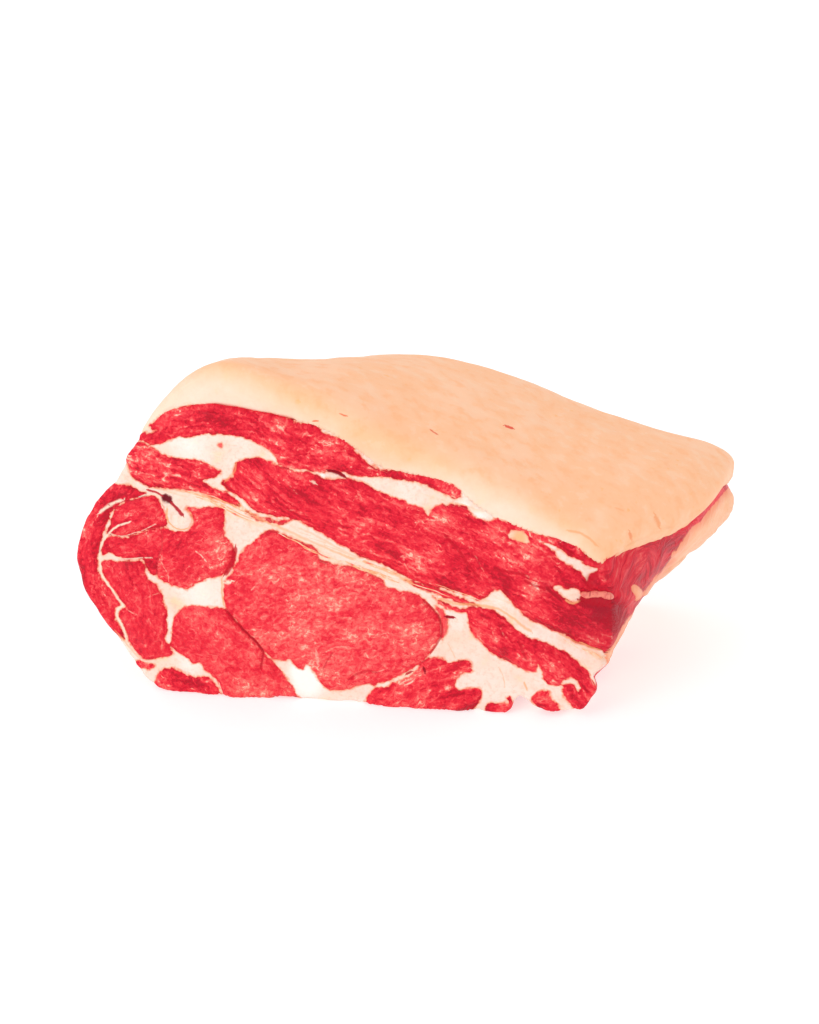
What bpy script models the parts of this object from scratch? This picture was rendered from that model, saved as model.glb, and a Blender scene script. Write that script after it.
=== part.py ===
"""A raw boneless rib-eye joint, cut as one thick slab, lying on its rib side.

The joint is two bodies that run from the front cut to the back cut: the lean, which is all the muscles
with the seam fat between them, and the cap of fat that covers its back. Both are the same construction:
a block, cut evenly along its three axes, whose points are moved on to sections of the joint. A section is
a front view of the joint at one depth. It is held between four smooth lines, and the lines change
steadily from the front cut to the back cut.

Metres, +Z up. The front cut faces -Y, and +X is towards the thin right side.
"""

import math

import bmesh
import bpy
import numpy as np
from mathutils import Matrix, Vector, noise

MM = 0.001

# The two cuts. The back cut leans, so the joint is thinner at its left side.
FRONT_CUT_Y = -73 * MM
BACK_CUT_Y = 73 * MM
BACK_CUT_LEAN = 20 * MM

# How finely each block is cut: across, in depth, in height. The steps in depth are drawn towards the two
# cuts, where the form changes fastest: 0 leaves them even, 1 draws them as a cosine does.
LEAN_CUTS = (46, 13, 20)
CAP_CUTS = (46, 13, 2)
DRAW_TO_CUTS = 0.62

# Sizes of the surface forms.
SEAM_GAP = 0.3 * MM  # between the lean and the cap
RIM_WIDTH = 8 * MM  # how far in from a cut the cap starts to round over
RIM_DROP, RIM_DROP_SHARE = 5 * MM, 0.45  # how far it drops there, at most and as a share of its thickness
CAP_BELLY = 4 * MM  # how far the cap swells between the two cuts
FLANK_BELLY = 5 * MM  # how far the left flank swells between the two cuts
WAIST_DEPTH = 5 * MM  # how far the right flank is drawn in, mostly behind its middle
WAIST_FULL = 0.4  # what the waist's own curve comes to where it is deepest
SWELL_DEPTH = 3.5 * MM  # how far the middle of a muscle stands out of a cut
SWELL_RISE = 1.6  # how steeply it rises to that from the seams
SQUARENESS = 4  # the power of a muscle's rounded outline: 2 is an ellipse
WAVE_HEIGHT = 1.6 * MM  # the slow unevenness of the cap and the flanks
WAVE_LENGTH = 45 * MM
WAVE_RISE = 4  # how soon the cap's wave is full behind a cut
FLAT_BASE_Z = 2 * MM  # what lies lower than this is left flat, to rest on

# The lines that hold a section, as landmarks in millimetres (across, up). The left flank climbs from the
# heel to the end of the cap, the right flank climbs from the toe to the other end, the seam parts the
# lean from the cap, and the skin is the cap's outer side.
FRONT = {
    "foot": [(-133, 0), (-100, 0), (0, 0), (46, 0), (58, 4), (72, 4), (84, 3), (93, 6)],
    "left_flank": [(-133, 0), (-144, 6), (-150, 17), (-167, 46), (-177, 73), (-171, 101), (-156, 121),
                   (-149, 135), (-141, 149)],
    "right_flank": [(93, 6), (98, 18), (103, 32), (107, 50), (105, 73), (100, 90)],
    "seam": [(-141, 149), (-128, 162), (-108, 168), (-82, 165), (-48, 159), (-28, 148), (-14, 138), (10, 134),
             (24, 129), (40, 116), (68, 105), (87, 99), (100, 90)],
    "skin": [(-142, 152), (-134, 165), (-120, 182), (-98, 193), (-70, 185), (-41, 173), (-14, 158), (24, 143),
             (52, 129), (84, 113), (101, 96)],
}
BACK = {
    "foot": [(-112, 0), (-60, 0), (0, 0), (60, 0), (110, 0)],
    "left_flank": [(-112, 0), (-130, 12), (-145, 33), (-151, 58), (-148, 80), (-138, 99)],
    "right_flank": [(110, 0), (119, 10), (129, 21), (142, 34), (155, 49), (164, 64), (161, 77)],
    "seam": [(-138, 99), (-128, 108), (-100, 121), (-60, 131), (-22, 137), (10, 135), (45, 126), (89, 107),
             (125, 96), (150, 86), (161, 77)],
    "skin": [(-140, 104), (-128, 120), (-98, 136), (-60, 144), (-24, 152), (8, 150), (45, 140), (87, 123),
             (125, 111), (152, 105), (166, 96), (166, 86)],
}

# How far ahead of the depth the lines turn from the front section to the back one. The right side flares
# out at once along the cap and mostly near the back cut at the foot. The left side turns evenly.
LEAD_TOP_RIGHT, LEAD_FOOT_RIGHT = 0.7, -0.5

# The muscles that swell out of the cuts: centre across and up, half length, half width in millimetres,
# and how far the long way drops to the right in degrees.
MUSCLES = {
    "eye": (-40, 54, 62, 33, 24),
    "lower_eye": (-101, 27, 30, 29, 35),
    "centre_left": (-114, 90, 25, 22, 0),
    "upper_left": (-148, 104, 18, 14, -30),
    "inner_left": (-145, 53, 17, 31, -20),
    "outer_left": (-170, 75, 8, 32, 0),
    "second_layer": (-124, 134, 28, 11, 12),
    "top_layer": (-88, 155, 50, 10, 8),
    "top_layer_tail": (-20, 137, 40, 8, 32),
    "broad_left": (-18, 110, 78, 17, 30),
    "broad_right": (68, 75, 40, 19, 28),
    "rib_lifter": (62, 40, 42, 12, 38),
    "bottom": (5, 11, 30, 12, 0),
}

# The nick where the front cut's lower edge is torn: centre across, half width, height and depth, and the
# power with which it fades up the cut.
NICK_X, NICK_HALF_WIDTH, NICK_HEIGHT, NICK_DEPTH = 60 * MM, 6 * MM, 7 * MM, 14 * MM
NICK_FADE = 4

RUN_STEPS = 24  # straight steps between two landmarks of a smooth line
NORMAL_STEP = 0.01  # the share of a line over which its direction is taken

LEAN_RED = (0.80, 0.055, 0.075, 1.0)
FAT_CREAM = (0.99, 0.60, 0.38, 1.0)


def clear_scene():
    for old in list(bpy.data.objects):
        bpy.data.objects.remove(old)


def smooth_line(landmarks):
    """A smooth line through the landmarks, as (share of its length, across, up)."""
    points = np.array(landmarks, float) * MM
    before = np.vstack([2 * points[0] - points[1], points[:-1]])
    after = np.vstack([points[1:], 2 * points[-1] - points[-2]])
    slope = (after - before) / 2
    t = np.linspace(0, 1, RUN_STEPS, endpoint=False)[:, None]
    runs = [
        (2 * t**3 - 3 * t**2 + 1) * points[i]
        + (t**3 - 2 * t**2 + t) * slope[i]
        + (3 * t**2 - 2 * t**3) * points[i + 1]
        + (t**3 - t**2) * slope[i + 1]
        for i in range(len(points) - 1)
    ]
    line = np.vstack([*runs, points[-1:]])
    length = np.concatenate([[0], np.cumsum(np.linalg.norm(np.diff(line, axis=0), axis=1))])
    return length / length[-1], line[:, 0], line[:, 1]


def at(line, share):
    """The point of a smooth line at a share of its length."""
    shares, across, up = line
    return Vector((np.interp(share, shares, across), np.interp(share, shares, up)))


FRONT_LINES = {name: smooth_line(marks) for name, marks in FRONT.items()}
BACK_LINES = {name: smooth_line(marks) for name, marks in BACK.items()}


def lead(name, share):
    """How far ahead of the depth a line turns at a share of its length."""
    if name == "left_flank":
        return 0.0
    if name == "right_flank":
        return LEAD_FOOT_RIGHT + (LEAD_TOP_RIGHT - LEAD_FOOT_RIGHT) * share**2
    return (LEAD_FOOT_RIGHT if name == "foot" else LEAD_TOP_RIGHT) * share**3


def section_point(name, share, depth):
    """A point of one of the section's lines, at a depth from 0 at the front cut to 1 at the back cut."""
    turned = depth + lead(name, share) * depth * (1 - depth)
    return at(FRONT_LINES[name], share).lerp(at(BACK_LINES[name], share), turned)


def section_normal(name, share, depth):
    """The way a line's left side faces there: up, for a line that runs to the right."""
    low, high = max(share - NORMAL_STEP, 0), min(share + NORMAL_STEP, 1)
    along = (section_point(name, high, depth) - section_point(name, low, depth)).normalized()
    return Vector((-along.y, along.x))


def cut_y(across_share, depth):
    """Where a section lies, from the front cut to the leaning back cut."""
    back = BACK_CUT_Y - BACK_CUT_LEAN * (1 - across_share)
    return FRONT_CUT_Y + (back - FRONT_CUT_Y) * depth


def eased(depth):
    """Draws the even steps in depth towards the two cuts."""
    return depth + (0.5 - 0.5 * math.cos(math.pi * depth) - depth) * DRAW_TO_CUTS


def inside_section(across, up, depth):
    """A point of the lean's section, from its four lines."""
    foot, seam = section_point("foot", across, depth), section_point("seam", across, depth)
    left, right = section_point("left_flank", up, depth), section_point("right_flank", up, depth)
    heel, toe = section_point("foot", 0, depth), section_point("foot", 1, depth)
    left_end, right_end = section_point("seam", 0, depth), section_point("seam", 1, depth)
    between_sides = left.lerp(right, across) + foot.lerp(seam, up)
    between_corners = heel.lerp(toe, across).lerp(left_end.lerp(right_end, across), up)
    return between_sides - between_corners


def muscle_swell(across, up):
    """How far the muscles stand out of a cut at a point of the front cut, from 0 in a seam to 1."""
    highest = 0.0
    for centre_across, centre_up, half_length, half_width, drop in MUSCLES.values():
        away = Vector((across / MM - centre_across, up / MM - centre_up))
        turn = math.radians(drop)
        along = (away.x * math.cos(turn) - away.y * math.sin(turn)) / half_length
        aside = (away.x * math.sin(turn) + away.y * math.cos(turn)) / half_width
        highest = max(highest, 1 - (along**SQUARENESS + aside**SQUARENESS) ** (2 / SQUARENESS))
    return min(1.0, SWELL_RISE * highest)


def slow_wave(point):
    """An even, seeded unevenness from -1 to 1."""
    return noise.noise(point / WAVE_LENGTH)


def rim_drop(y, across, thickness):
    """How far the cap's skin drops where it rounds over to the nearer cut."""
    nearer = min(y - FRONT_CUT_Y, cut_y(across, 1) - y)
    inset = max(0.0, 1 - nearer / RIM_WIDTH)
    return min(RIM_DROP, RIM_DROP_SHARE * thickness) * (1 - math.sqrt(max(0.0, 1 - inset**2)))


def lean_point(across, depth, up):
    """Moves a point of the lean's block on to the joint."""
    depth = eased(depth)
    x, z = inside_section(across, up, depth)
    y = cut_y(across, depth)
    middle = math.sin(math.pi * depth)
    front_x, front_z = inside_section(across, up, 0)
    if depth in (0.0, 1.0) and up < 1:
        y += (2 * depth - 1) * SWELL_DEPTH * muscle_swell(front_x, front_z)
    elif across in (0.0, 1.0):
        outward = (2 * across - 1) * middle * math.sin(math.pi * up)
        belly = -WAIST_DEPTH * depth**2 / WAIST_FULL if across else FLANK_BELLY
        x += outward * (WAVE_HEIGHT * slow_wave(Vector((x, y, z))) + belly)
    nick = math.exp(-(((x - NICK_X) / NICK_HALF_WIDTH) ** 2) - ((y - FRONT_CUT_Y) / NICK_DEPTH) ** 2)
    z += NICK_HEIGHT * nick * (1 - up) ** NICK_FADE
    return Vector((x, y, 0.0 if up == 0 and z < FLAT_BASE_Z else z))


def cap_point(across, depth, up):
    """Moves a point of the cap's block on to the joint, between the seam and the skin."""
    depth = eased(depth)
    y = cut_y(across, depth)
    seam = section_point("seam", across, depth) + section_normal("seam", across, depth) * SEAM_GAP
    skin = section_point("skin", across, depth)
    middle = math.sin(math.pi * depth)
    wave = WAVE_HEIGHT * slow_wave(Vector((skin.x, y, skin.y)))
    outward = section_normal("skin", across, depth)
    drop = rim_drop(y, across, (skin - seam).length)
    skin = skin + outward * (CAP_BELLY * middle + wave * min(1.0, WAVE_RISE * middle) - drop)
    point = seam.lerp(skin, up)
    return Vector((point.x, y, point.y))


def block(name, cuts, place, material, parts):
    """A cube cut evenly along its three axes, with each point moved to its place on the joint."""
    shape = bmesh.new()
    bmesh.ops.create_cube(shape, size=1.0, matrix=Matrix.Translation((0.5, 0.5, 0.5)))
    for axis, count in enumerate(cuts):
        along = [e for e in shape.edges if abs((e.verts[0].co - e.verts[1].co)[axis]) > 0.5]
        bmesh.ops.subdivide_edges(shape, edges=along, cuts=count - 1)
    for vertex in shape.verts:
        share = [round(c * n) / n for c, n in zip(vertex.co, cuts)]
        vertex.co = place(*share)
    bmesh.ops.triangulate(shape, faces=shape.faces, quad_method="SHORT_EDGE")
    bmesh.ops.recalc_face_normals(shape, faces=shape.faces)
    mesh = bpy.data.meshes.new(name)
    shape.to_mesh(mesh)
    shape.free()
    mesh.shade_smooth()
    mesh.materials.append(material)
    piece = bpy.data.objects.new(name, mesh)
    parts.objects.link(piece)
    return piece


def flesh(name, colour, roughness):
    material = bpy.data.materials.new(name)
    material.use_nodes = True
    surface = material.node_tree.nodes["Principled BSDF"]
    surface.inputs["Base Color"].default_value = colour
    surface.inputs["Roughness"].default_value = roughness
    surface.inputs["Metallic"].default_value = 0.0
    return material


def stand_on_origin(pieces):
    """Puts the middle of the joint's base on the origin."""
    corners = np.array([v.co for piece in pieces for v in piece.data.vertices])
    low, high = corners.min(0), corners.max(0)
    shift = Matrix.Translation((-(low[0] + high[0]) / 2, -(low[1] + high[1]) / 2, -low[2]))
    for piece in pieces:
        piece.data.transform(shift)
    print("shift", [round(float(c), 5) for c in shift.translation], "size", (high - low).round(4))


clear_scene()
joint = bpy.data.collections.new("ribeye_joint")
bpy.context.scene.collection.children.link(joint)
lean = block("lean", LEAN_CUTS, lean_point, flesh("lean", LEAN_RED, 0.45), joint)
cap = block("fat_cap", CAP_CUTS, cap_point, flesh("fat", FAT_CREAM, 0.5), joint)
stand_on_origin([lean, cap])
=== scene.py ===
# %% [markdown]
# # A raw rib-eye joint
#
# The object is a thick boneless joint of beef, cut across the rib end. Two things make it: the lean,
# which is many muscles parted by seams of fat, and the cap of fat over its back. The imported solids
# give the place and the size of both. This lesson dresses them: each solid is copied, refined and
# given its fine relief, the muscles are laid out on the cut, and the meat and the fat get materials
# made only of nodes.

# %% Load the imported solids
import math

import bmesh
import bpy
import numpy as np
from mathutils import Matrix, Vector, noise
from mathutils.bvhtree import BVHTree
from mathutils.kdtree import KDTree


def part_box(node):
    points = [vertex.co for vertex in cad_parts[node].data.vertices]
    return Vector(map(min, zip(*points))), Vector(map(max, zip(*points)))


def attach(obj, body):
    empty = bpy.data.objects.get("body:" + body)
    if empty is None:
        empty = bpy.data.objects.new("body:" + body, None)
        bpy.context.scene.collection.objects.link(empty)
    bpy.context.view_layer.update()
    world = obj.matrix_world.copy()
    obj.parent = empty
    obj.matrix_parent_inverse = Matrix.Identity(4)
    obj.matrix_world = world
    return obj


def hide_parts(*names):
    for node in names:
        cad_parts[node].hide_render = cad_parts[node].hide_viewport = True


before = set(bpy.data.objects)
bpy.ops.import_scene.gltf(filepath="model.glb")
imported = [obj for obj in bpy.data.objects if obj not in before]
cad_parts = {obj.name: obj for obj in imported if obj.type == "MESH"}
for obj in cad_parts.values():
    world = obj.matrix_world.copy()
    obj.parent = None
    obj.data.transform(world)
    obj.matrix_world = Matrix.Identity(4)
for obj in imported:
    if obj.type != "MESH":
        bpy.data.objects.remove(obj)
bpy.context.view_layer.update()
MM = 0.001

# %% [markdown]
# ## The camera
#
# The view is the photograph's own: a little to the right of the cut and looking down on it. The
# camera comes first because the muscles are laid out through it. A muscle's outline is a handful of
# photo pixels, one at each bend. Carrying every point of the cut into the same pixels is
# simpler than carrying the outlines on to the cut, and nothing has to be unwrapped.

# %% The camera
PHOTO_WIDTH, PHOTO_HEIGHT = 819, 1024
AZIMUTH, ELEVATION = math.radians(8), math.radians(24)
LENS_MM, SENSOR_MM = 100.0, 36.0
DISTANCE = 1.479
AIM = np.array((0.0056, -0.0724, 0.114))

level = math.cos(ELEVATION)
TOWARDS_CAMERA = np.array((math.sin(AZIMUTH) * level, -math.cos(AZIMUTH) * level, math.sin(ELEVATION)))
CAMERA_RIGHT = np.array((math.cos(AZIMUTH), math.sin(AZIMUTH), 0.0))
CAMERA_UP = np.cross(TOWARDS_CAMERA, CAMERA_RIGHT)
CAMERA_PLACE = AIM + DISTANCE * TOWARDS_CAMERA
FOCAL_PIXELS = LENS_MM / SENSOR_MM * PHOTO_HEIGHT
PIXEL_MM = DISTANCE / FOCAL_PIXELS / MM


def new_object(name, data):
    """Puts an object into the scene that holds a mesh, a curve, a lamp or a lens."""
    made = bpy.data.objects.new(name, data)
    bpy.context.scene.collection.objects.link(made)
    return made


lens = bpy.data.cameras.new("camera")
lens.lens = LENS_MM
lens.sensor_width = SENSOR_MM
camera = new_object("camera", lens)
axes = Matrix([CAMERA_RIGHT, CAMERA_UP, TOWARDS_CAMERA]).transposed()
camera.matrix_world = Matrix.Translation(CAMERA_PLACE) @ axes.to_4x4()
bpy.context.scene.camera = camera


def photo_pixels(points):
    """The photo pixels at which the camera sees points."""
    seen = np.asarray(points) - CAMERA_PLACE
    depth = -(seen @ TOWARDS_CAMERA)
    across = PHOTO_WIDTH / 2 + FOCAL_PIXELS * (seen @ CAMERA_RIGHT) / depth
    down = PHOTO_HEIGHT / 2 - FOCAL_PIXELS * (seen @ CAMERA_UP) / depth
    return np.stack([across, down], axis=1)


def pixel_ray(pixel):
    """The direction from the camera through a photo pixel."""
    across = (pixel[0] - PHOTO_WIDTH / 2) / FOCAL_PIXELS
    down = (pixel[1] - PHOTO_HEIGHT / 2) / FOCAL_PIXELS
    return Vector(across * CAMERA_RIGHT - down * CAMERA_UP - TOWARDS_CAMERA).normalized()


print("one photo pixel on the cut is", round(PIXEL_MM, 3), "mm")

# %% [markdown]
# ## Refining a solid
#
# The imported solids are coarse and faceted. A copy is merged, its triangles are joined back to quads,
# and Subdivision Surface rounds it, with creases that hold the rims of the two cuts. Only where the
# eye rests, on the cuts, are the faces then split again. Splitting everywhere would spend the
# triangles on the base.


# %% Helpers that refine a solid
def refined_shape(node, rim_angle):
    """A merged, rounded copy of a solid, as an open bmesh."""
    shape = bmesh.new()
    shape.from_mesh(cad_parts[node].data)
    bmesh.ops.remove_doubles(shape, verts=shape.verts, dist=0.01 * MM)
    bmesh.ops.join_triangles(
        shape, faces=shape.faces,
        angle_face_threshold=math.radians(30), angle_shape_threshold=math.radians(60))
    crease = shape.edges.layers.float.new("crease_edge")
    for edge in shape.edges:
        if len(edge.link_faces) == 2 and edge.calc_face_angle() > rim_angle:
            edge[crease] = 1.0
    mesh = bpy.data.meshes.new("refining")
    shape.to_mesh(mesh)
    shape.free()
    held = new_object("refining", mesh)
    rounded = held.modifiers.new("rounded", "SUBSURF")
    rounded.levels = rounded.render_levels = 1
    result = bpy.data.meshes.new_from_object(held.evaluated_get(bpy.context.evaluated_depsgraph_get()))
    bpy.data.objects.remove(held)
    shape = bmesh.new()
    shape.from_mesh(result)
    return shape


def split_faces(shape, chosen):
    """Splits the chosen faces in four."""
    edges = {edge for face in shape.faces if chosen(face) for edge in face.edges}
    bmesh.ops.subdivide_edges(shape, edges=list(edges), cuts=1, use_grid_fill=True)
    shape.normal_update()


def relax(shape, verts, passes):
    """Smooths the chosen vertices a little, some times over."""
    for _ in range(passes):
        bmesh.ops.smooth_vert(
            shape, verts=verts, factor=0.5, use_axis_x=True, use_axis_y=True, use_axis_z=True)


def finished_piece(shape, name):
    """Puts a bmesh into the scene as an object at the origin."""
    mesh = bpy.data.meshes.new(name)
    shape.to_mesh(mesh)
    shape.free()
    mesh.shade_smooth()
    return new_object(name, mesh)


def vertex_array(mesh, what):
    """The places or the normals of a mesh's vertices, one in each row."""
    values = np.empty(len(mesh.vertices) * 3)
    mesh.vertices.foreach_get(what, values)
    return values.reshape(-1, 3)


def store(mesh, name, values, kind="FLOAT"):
    """Keeps one value for each vertex as an attribute that a material can read."""
    layer = mesh.attributes.new(name, kind, "POINT")
    key = {"FLOAT": "value", "FLOAT_VECTOR": "vector"}[kind]
    layer.data.foreach_set(key, np.ascontiguousarray(values, dtype=np.float32).ravel())


def surface_of(places, mesh):
    """A mesh's faces as a surface that rays can be cast at, with the vertices at the given places."""
    return BVHTree.FromPolygons([tuple(p) for p in places], [tuple(f.vertices) for f in mesh.polygons])


def noise_at(places, length):
    return np.array([noise.noise(Vector(p) / length) for p in places])


# %% The lean, refined
RIM_ANGLE = math.radians(35)
CUT_FACING, BASE_FACING = 0.6, 0.9  # how squarely a face looks along the joint, or up and down
SOFT_RIM_X, SOFT_RIM_Z, SOFT_RIM_PASSES = 92 * MM, 24 * MM, 24  # where the cut turns softly on to the flank


def on_flank_or_back(face):
    beside = abs(face.normal.y) < CUT_FACING and abs(face.normal.z) < BASE_FACING
    return beside or face.normal.y > CUT_FACING


front_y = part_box("fat_cap")[0].y
shape = refined_shape("lean", RIM_ANGLE)
for _ in range(2):
    split_faces(shape, lambda face: face.normal.y < -CUT_FACING)
split_faces(shape, on_flank_or_back)
relax(shape, shape.verts, 3)
relax(shape, [v for v in shape.verts if v.co.x > SOFT_RIM_X and v.co.z > SOFT_RIM_Z], SOFT_RIM_PASSES)
lean = finished_piece(shape, "lean_meat")
print("lean:", len(lean.data.vertices), "vertices,", len(lean.data.polygons), "faces")

# %% [markdown]
# ## Where the muscles lie
#
# The joint is a bundle of muscles that run from one cut to the other, so one section tells the whole
# pattern. Every point of the surface is first carried to its place in the front section: a point on a
# flank, on the base or on the back cut keeps its share of the section's width and of its height. The
# pattern then runs through the joint, and both cuts, the flanks and the base agree along their rims.

# %% Carry every point to the front section
EDGE_INSET = 1.5 * MM  # heights are measured this far inside the flanks and the cuts
RIM_INSET = 6 * MM  # and this far in front of the cap's back rim, because the back cut bulges behind it
END_LENGTH = 10 * MM
STATIONS, STATION_REACH = np.linspace(0, 1, 14), 0.06

cap_points = vertex_array(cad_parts["fat_cap"].data, "co")
left_end = cap_points[cap_points[:, 0] < cap_points[:, 0].min() + END_LENGTH]
right_end = cap_points[cap_points[:, 0] > cap_points[:, 0].max() - END_LENGTH]
back_corners = [(end[:, 0].mean(), end[:, 1].max()) for end in (left_end, right_end)]


def back_cut(x):
    """Where the leaning back cut lies, for places across the joint."""
    return np.interp(x, *zip(*back_corners))


def depth_share(points):
    """How deep points lie, from 0 at the front cut to 1 at the leaning back cut."""
    return np.clip((points[:, 1] - front_y) / (back_cut(points[:, 0]) - front_y), 0, 1)


solid_points = vertex_array(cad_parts["lean"].data, "co")
solid_depths = depth_share(solid_points)
near_station = [solid_points[np.abs(solid_depths - s) < STATION_REACH][:, 0] for s in STATIONS]
left_limits = np.array([xs.min() for xs in near_station])
right_limits = np.array([xs.max() for xs in near_station])

solid_surface = surface_of(solid_points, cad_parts["lean"].data)


def top_height(x, y):
    """The height of the lean's upper side over a point of the ground."""
    hit = solid_surface.ray_cast(Vector((x, y, 1.0)), Vector((0, 0, -1)))[0]
    return hit.z if hit else 60 * MM


front_columns = np.linspace(left_limits[0] + EDGE_INSET, right_limits[0] - EDGE_INSET, 240)
front_heights = np.array([top_height(x, front_y + 4 * MM) for x in front_columns])


def section_places(points):
    """Each point's place in the front section, as points on the front cut."""
    depth = depth_share(points)
    left = np.interp(depth, STATIONS, left_limits)
    right = np.interp(depth, STATIONS, right_limits)
    share = np.clip((points[:, 0] - left) / (right - left), 0, 1)
    inset = np.clip(points[:, 0], left + EDGE_INSET, right - EDGE_INSET)
    inside_y = np.clip(points[:, 1], front_y + EDGE_INSET, back_cut(points[:, 0]) - RIM_INSET)
    tops = np.array([top_height(x, y) for x, y in zip(inset, inside_y)])
    across = left_limits[0] + share * (right_limits[0] - left_limits[0])
    height = np.clip(points[:, 2] / tops, 0, 1) * np.interp(across, front_columns, front_heights)
    return np.stack([across, np.full(len(points), front_y), height], axis=1)


# %% Lay out the lean's points; behind the front cut the muscles wander a little
WANDER, WANDER_LENGTH, WANDER_FROM = 5 * MM, 28 * MM, 25 * MM
WANDER_SEED = 1

points = vertex_array(lean.data, "co")
normals = vertex_array(lean.data, "normal")
on_front = points[:, 1] < front_y + 1.0 * MM
places = np.where(on_front[:, None], points, section_places(points))
wander_in = np.clip((points[:, 1] - front_y) / WANDER_FROM, 0, 1)[:, None] * WANDER
noise.seed_set(WANDER_SEED)
wander = np.array([noise.noise_vector(Vector(p) / WANDER_LENGTH) for p in points])
places = places + wander * wander_in * (1, 0, 1)
pixels = photo_pixels(places)
print("points on the front cut:", int(on_front.sum()), "of", len(points))

# %% Lift the seam under the cap on the right flank, where the photo shows it a little higher
LIFT_REACH, LIFT_INWARD = 15 * MM, 25 * MM
SEAM_LIFTS = [  # depth from 0 to 1, lift in mm
    (0, 0), (0.11, 3.6), (0.23, 3.1), (0.35, 1.4), (0.49, 1.4), (0.585, 3.1), (0.72, 6.4), (0.86, 5.7),
    (0.91, 3), (1, 0)]
TOUCHING = 1.5 * MM

cap_solid = surface_of(cap_points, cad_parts["fat_cap"].data)
near_cap = np.array([cap_solid.find_nearest(Vector(p), TOUCHING)[0] is not None for p in points])
seam_heights = np.array([
    top_height(x - 4 * MM, front_y + min(max(s, 0.04), 0.96) * (back - front_y))
    for x, s, back in zip(right_limits, STATIONS, back_cut(right_limits))])


def seam_lifted(points):
    """Points moved up with the seam; the lean and the cap both use it, so they stay together."""
    depth = depth_share(points)
    up = points[:, 2] - np.interp(depth, STATIONS, seam_heights)
    inward = np.clip(np.interp(depth, STATIONS, right_limits) - points[:, 0], 0, None)
    lift = np.interp(depth, *zip(*SEAM_LIFTS)) * MM
    near = np.exp(-((up / LIFT_REACH) ** 2) - (inward / LIFT_INWARD) ** 2)
    return points + (lift * near)[:, None] * (0, 0, 1)


points = seam_lifted(points)
print("seam heights on the right, in mm:", [round(h / MM) for h in seam_heights[::3]])

# %% [markdown]
# ## The muscles
#
# On the cut of a rib joint, the round eye muscle lies in the middle. The flat muscles of the back lie
# over it in long bands, small ones fill the left side, and fat fills what is left. Each muscle is one
# closed outline. Outlines that reach the rim run a little past it, so that the flank is meat there
# and not fat. Each has its paleness, its contrast and how stringy its fibres look, then the spine
# that its fibres follow, and its outline. Muscles that only a thin sheet parts share a spine. Islands
# of fat inside a muscle are outlines too, and are taken out of it.

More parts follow.
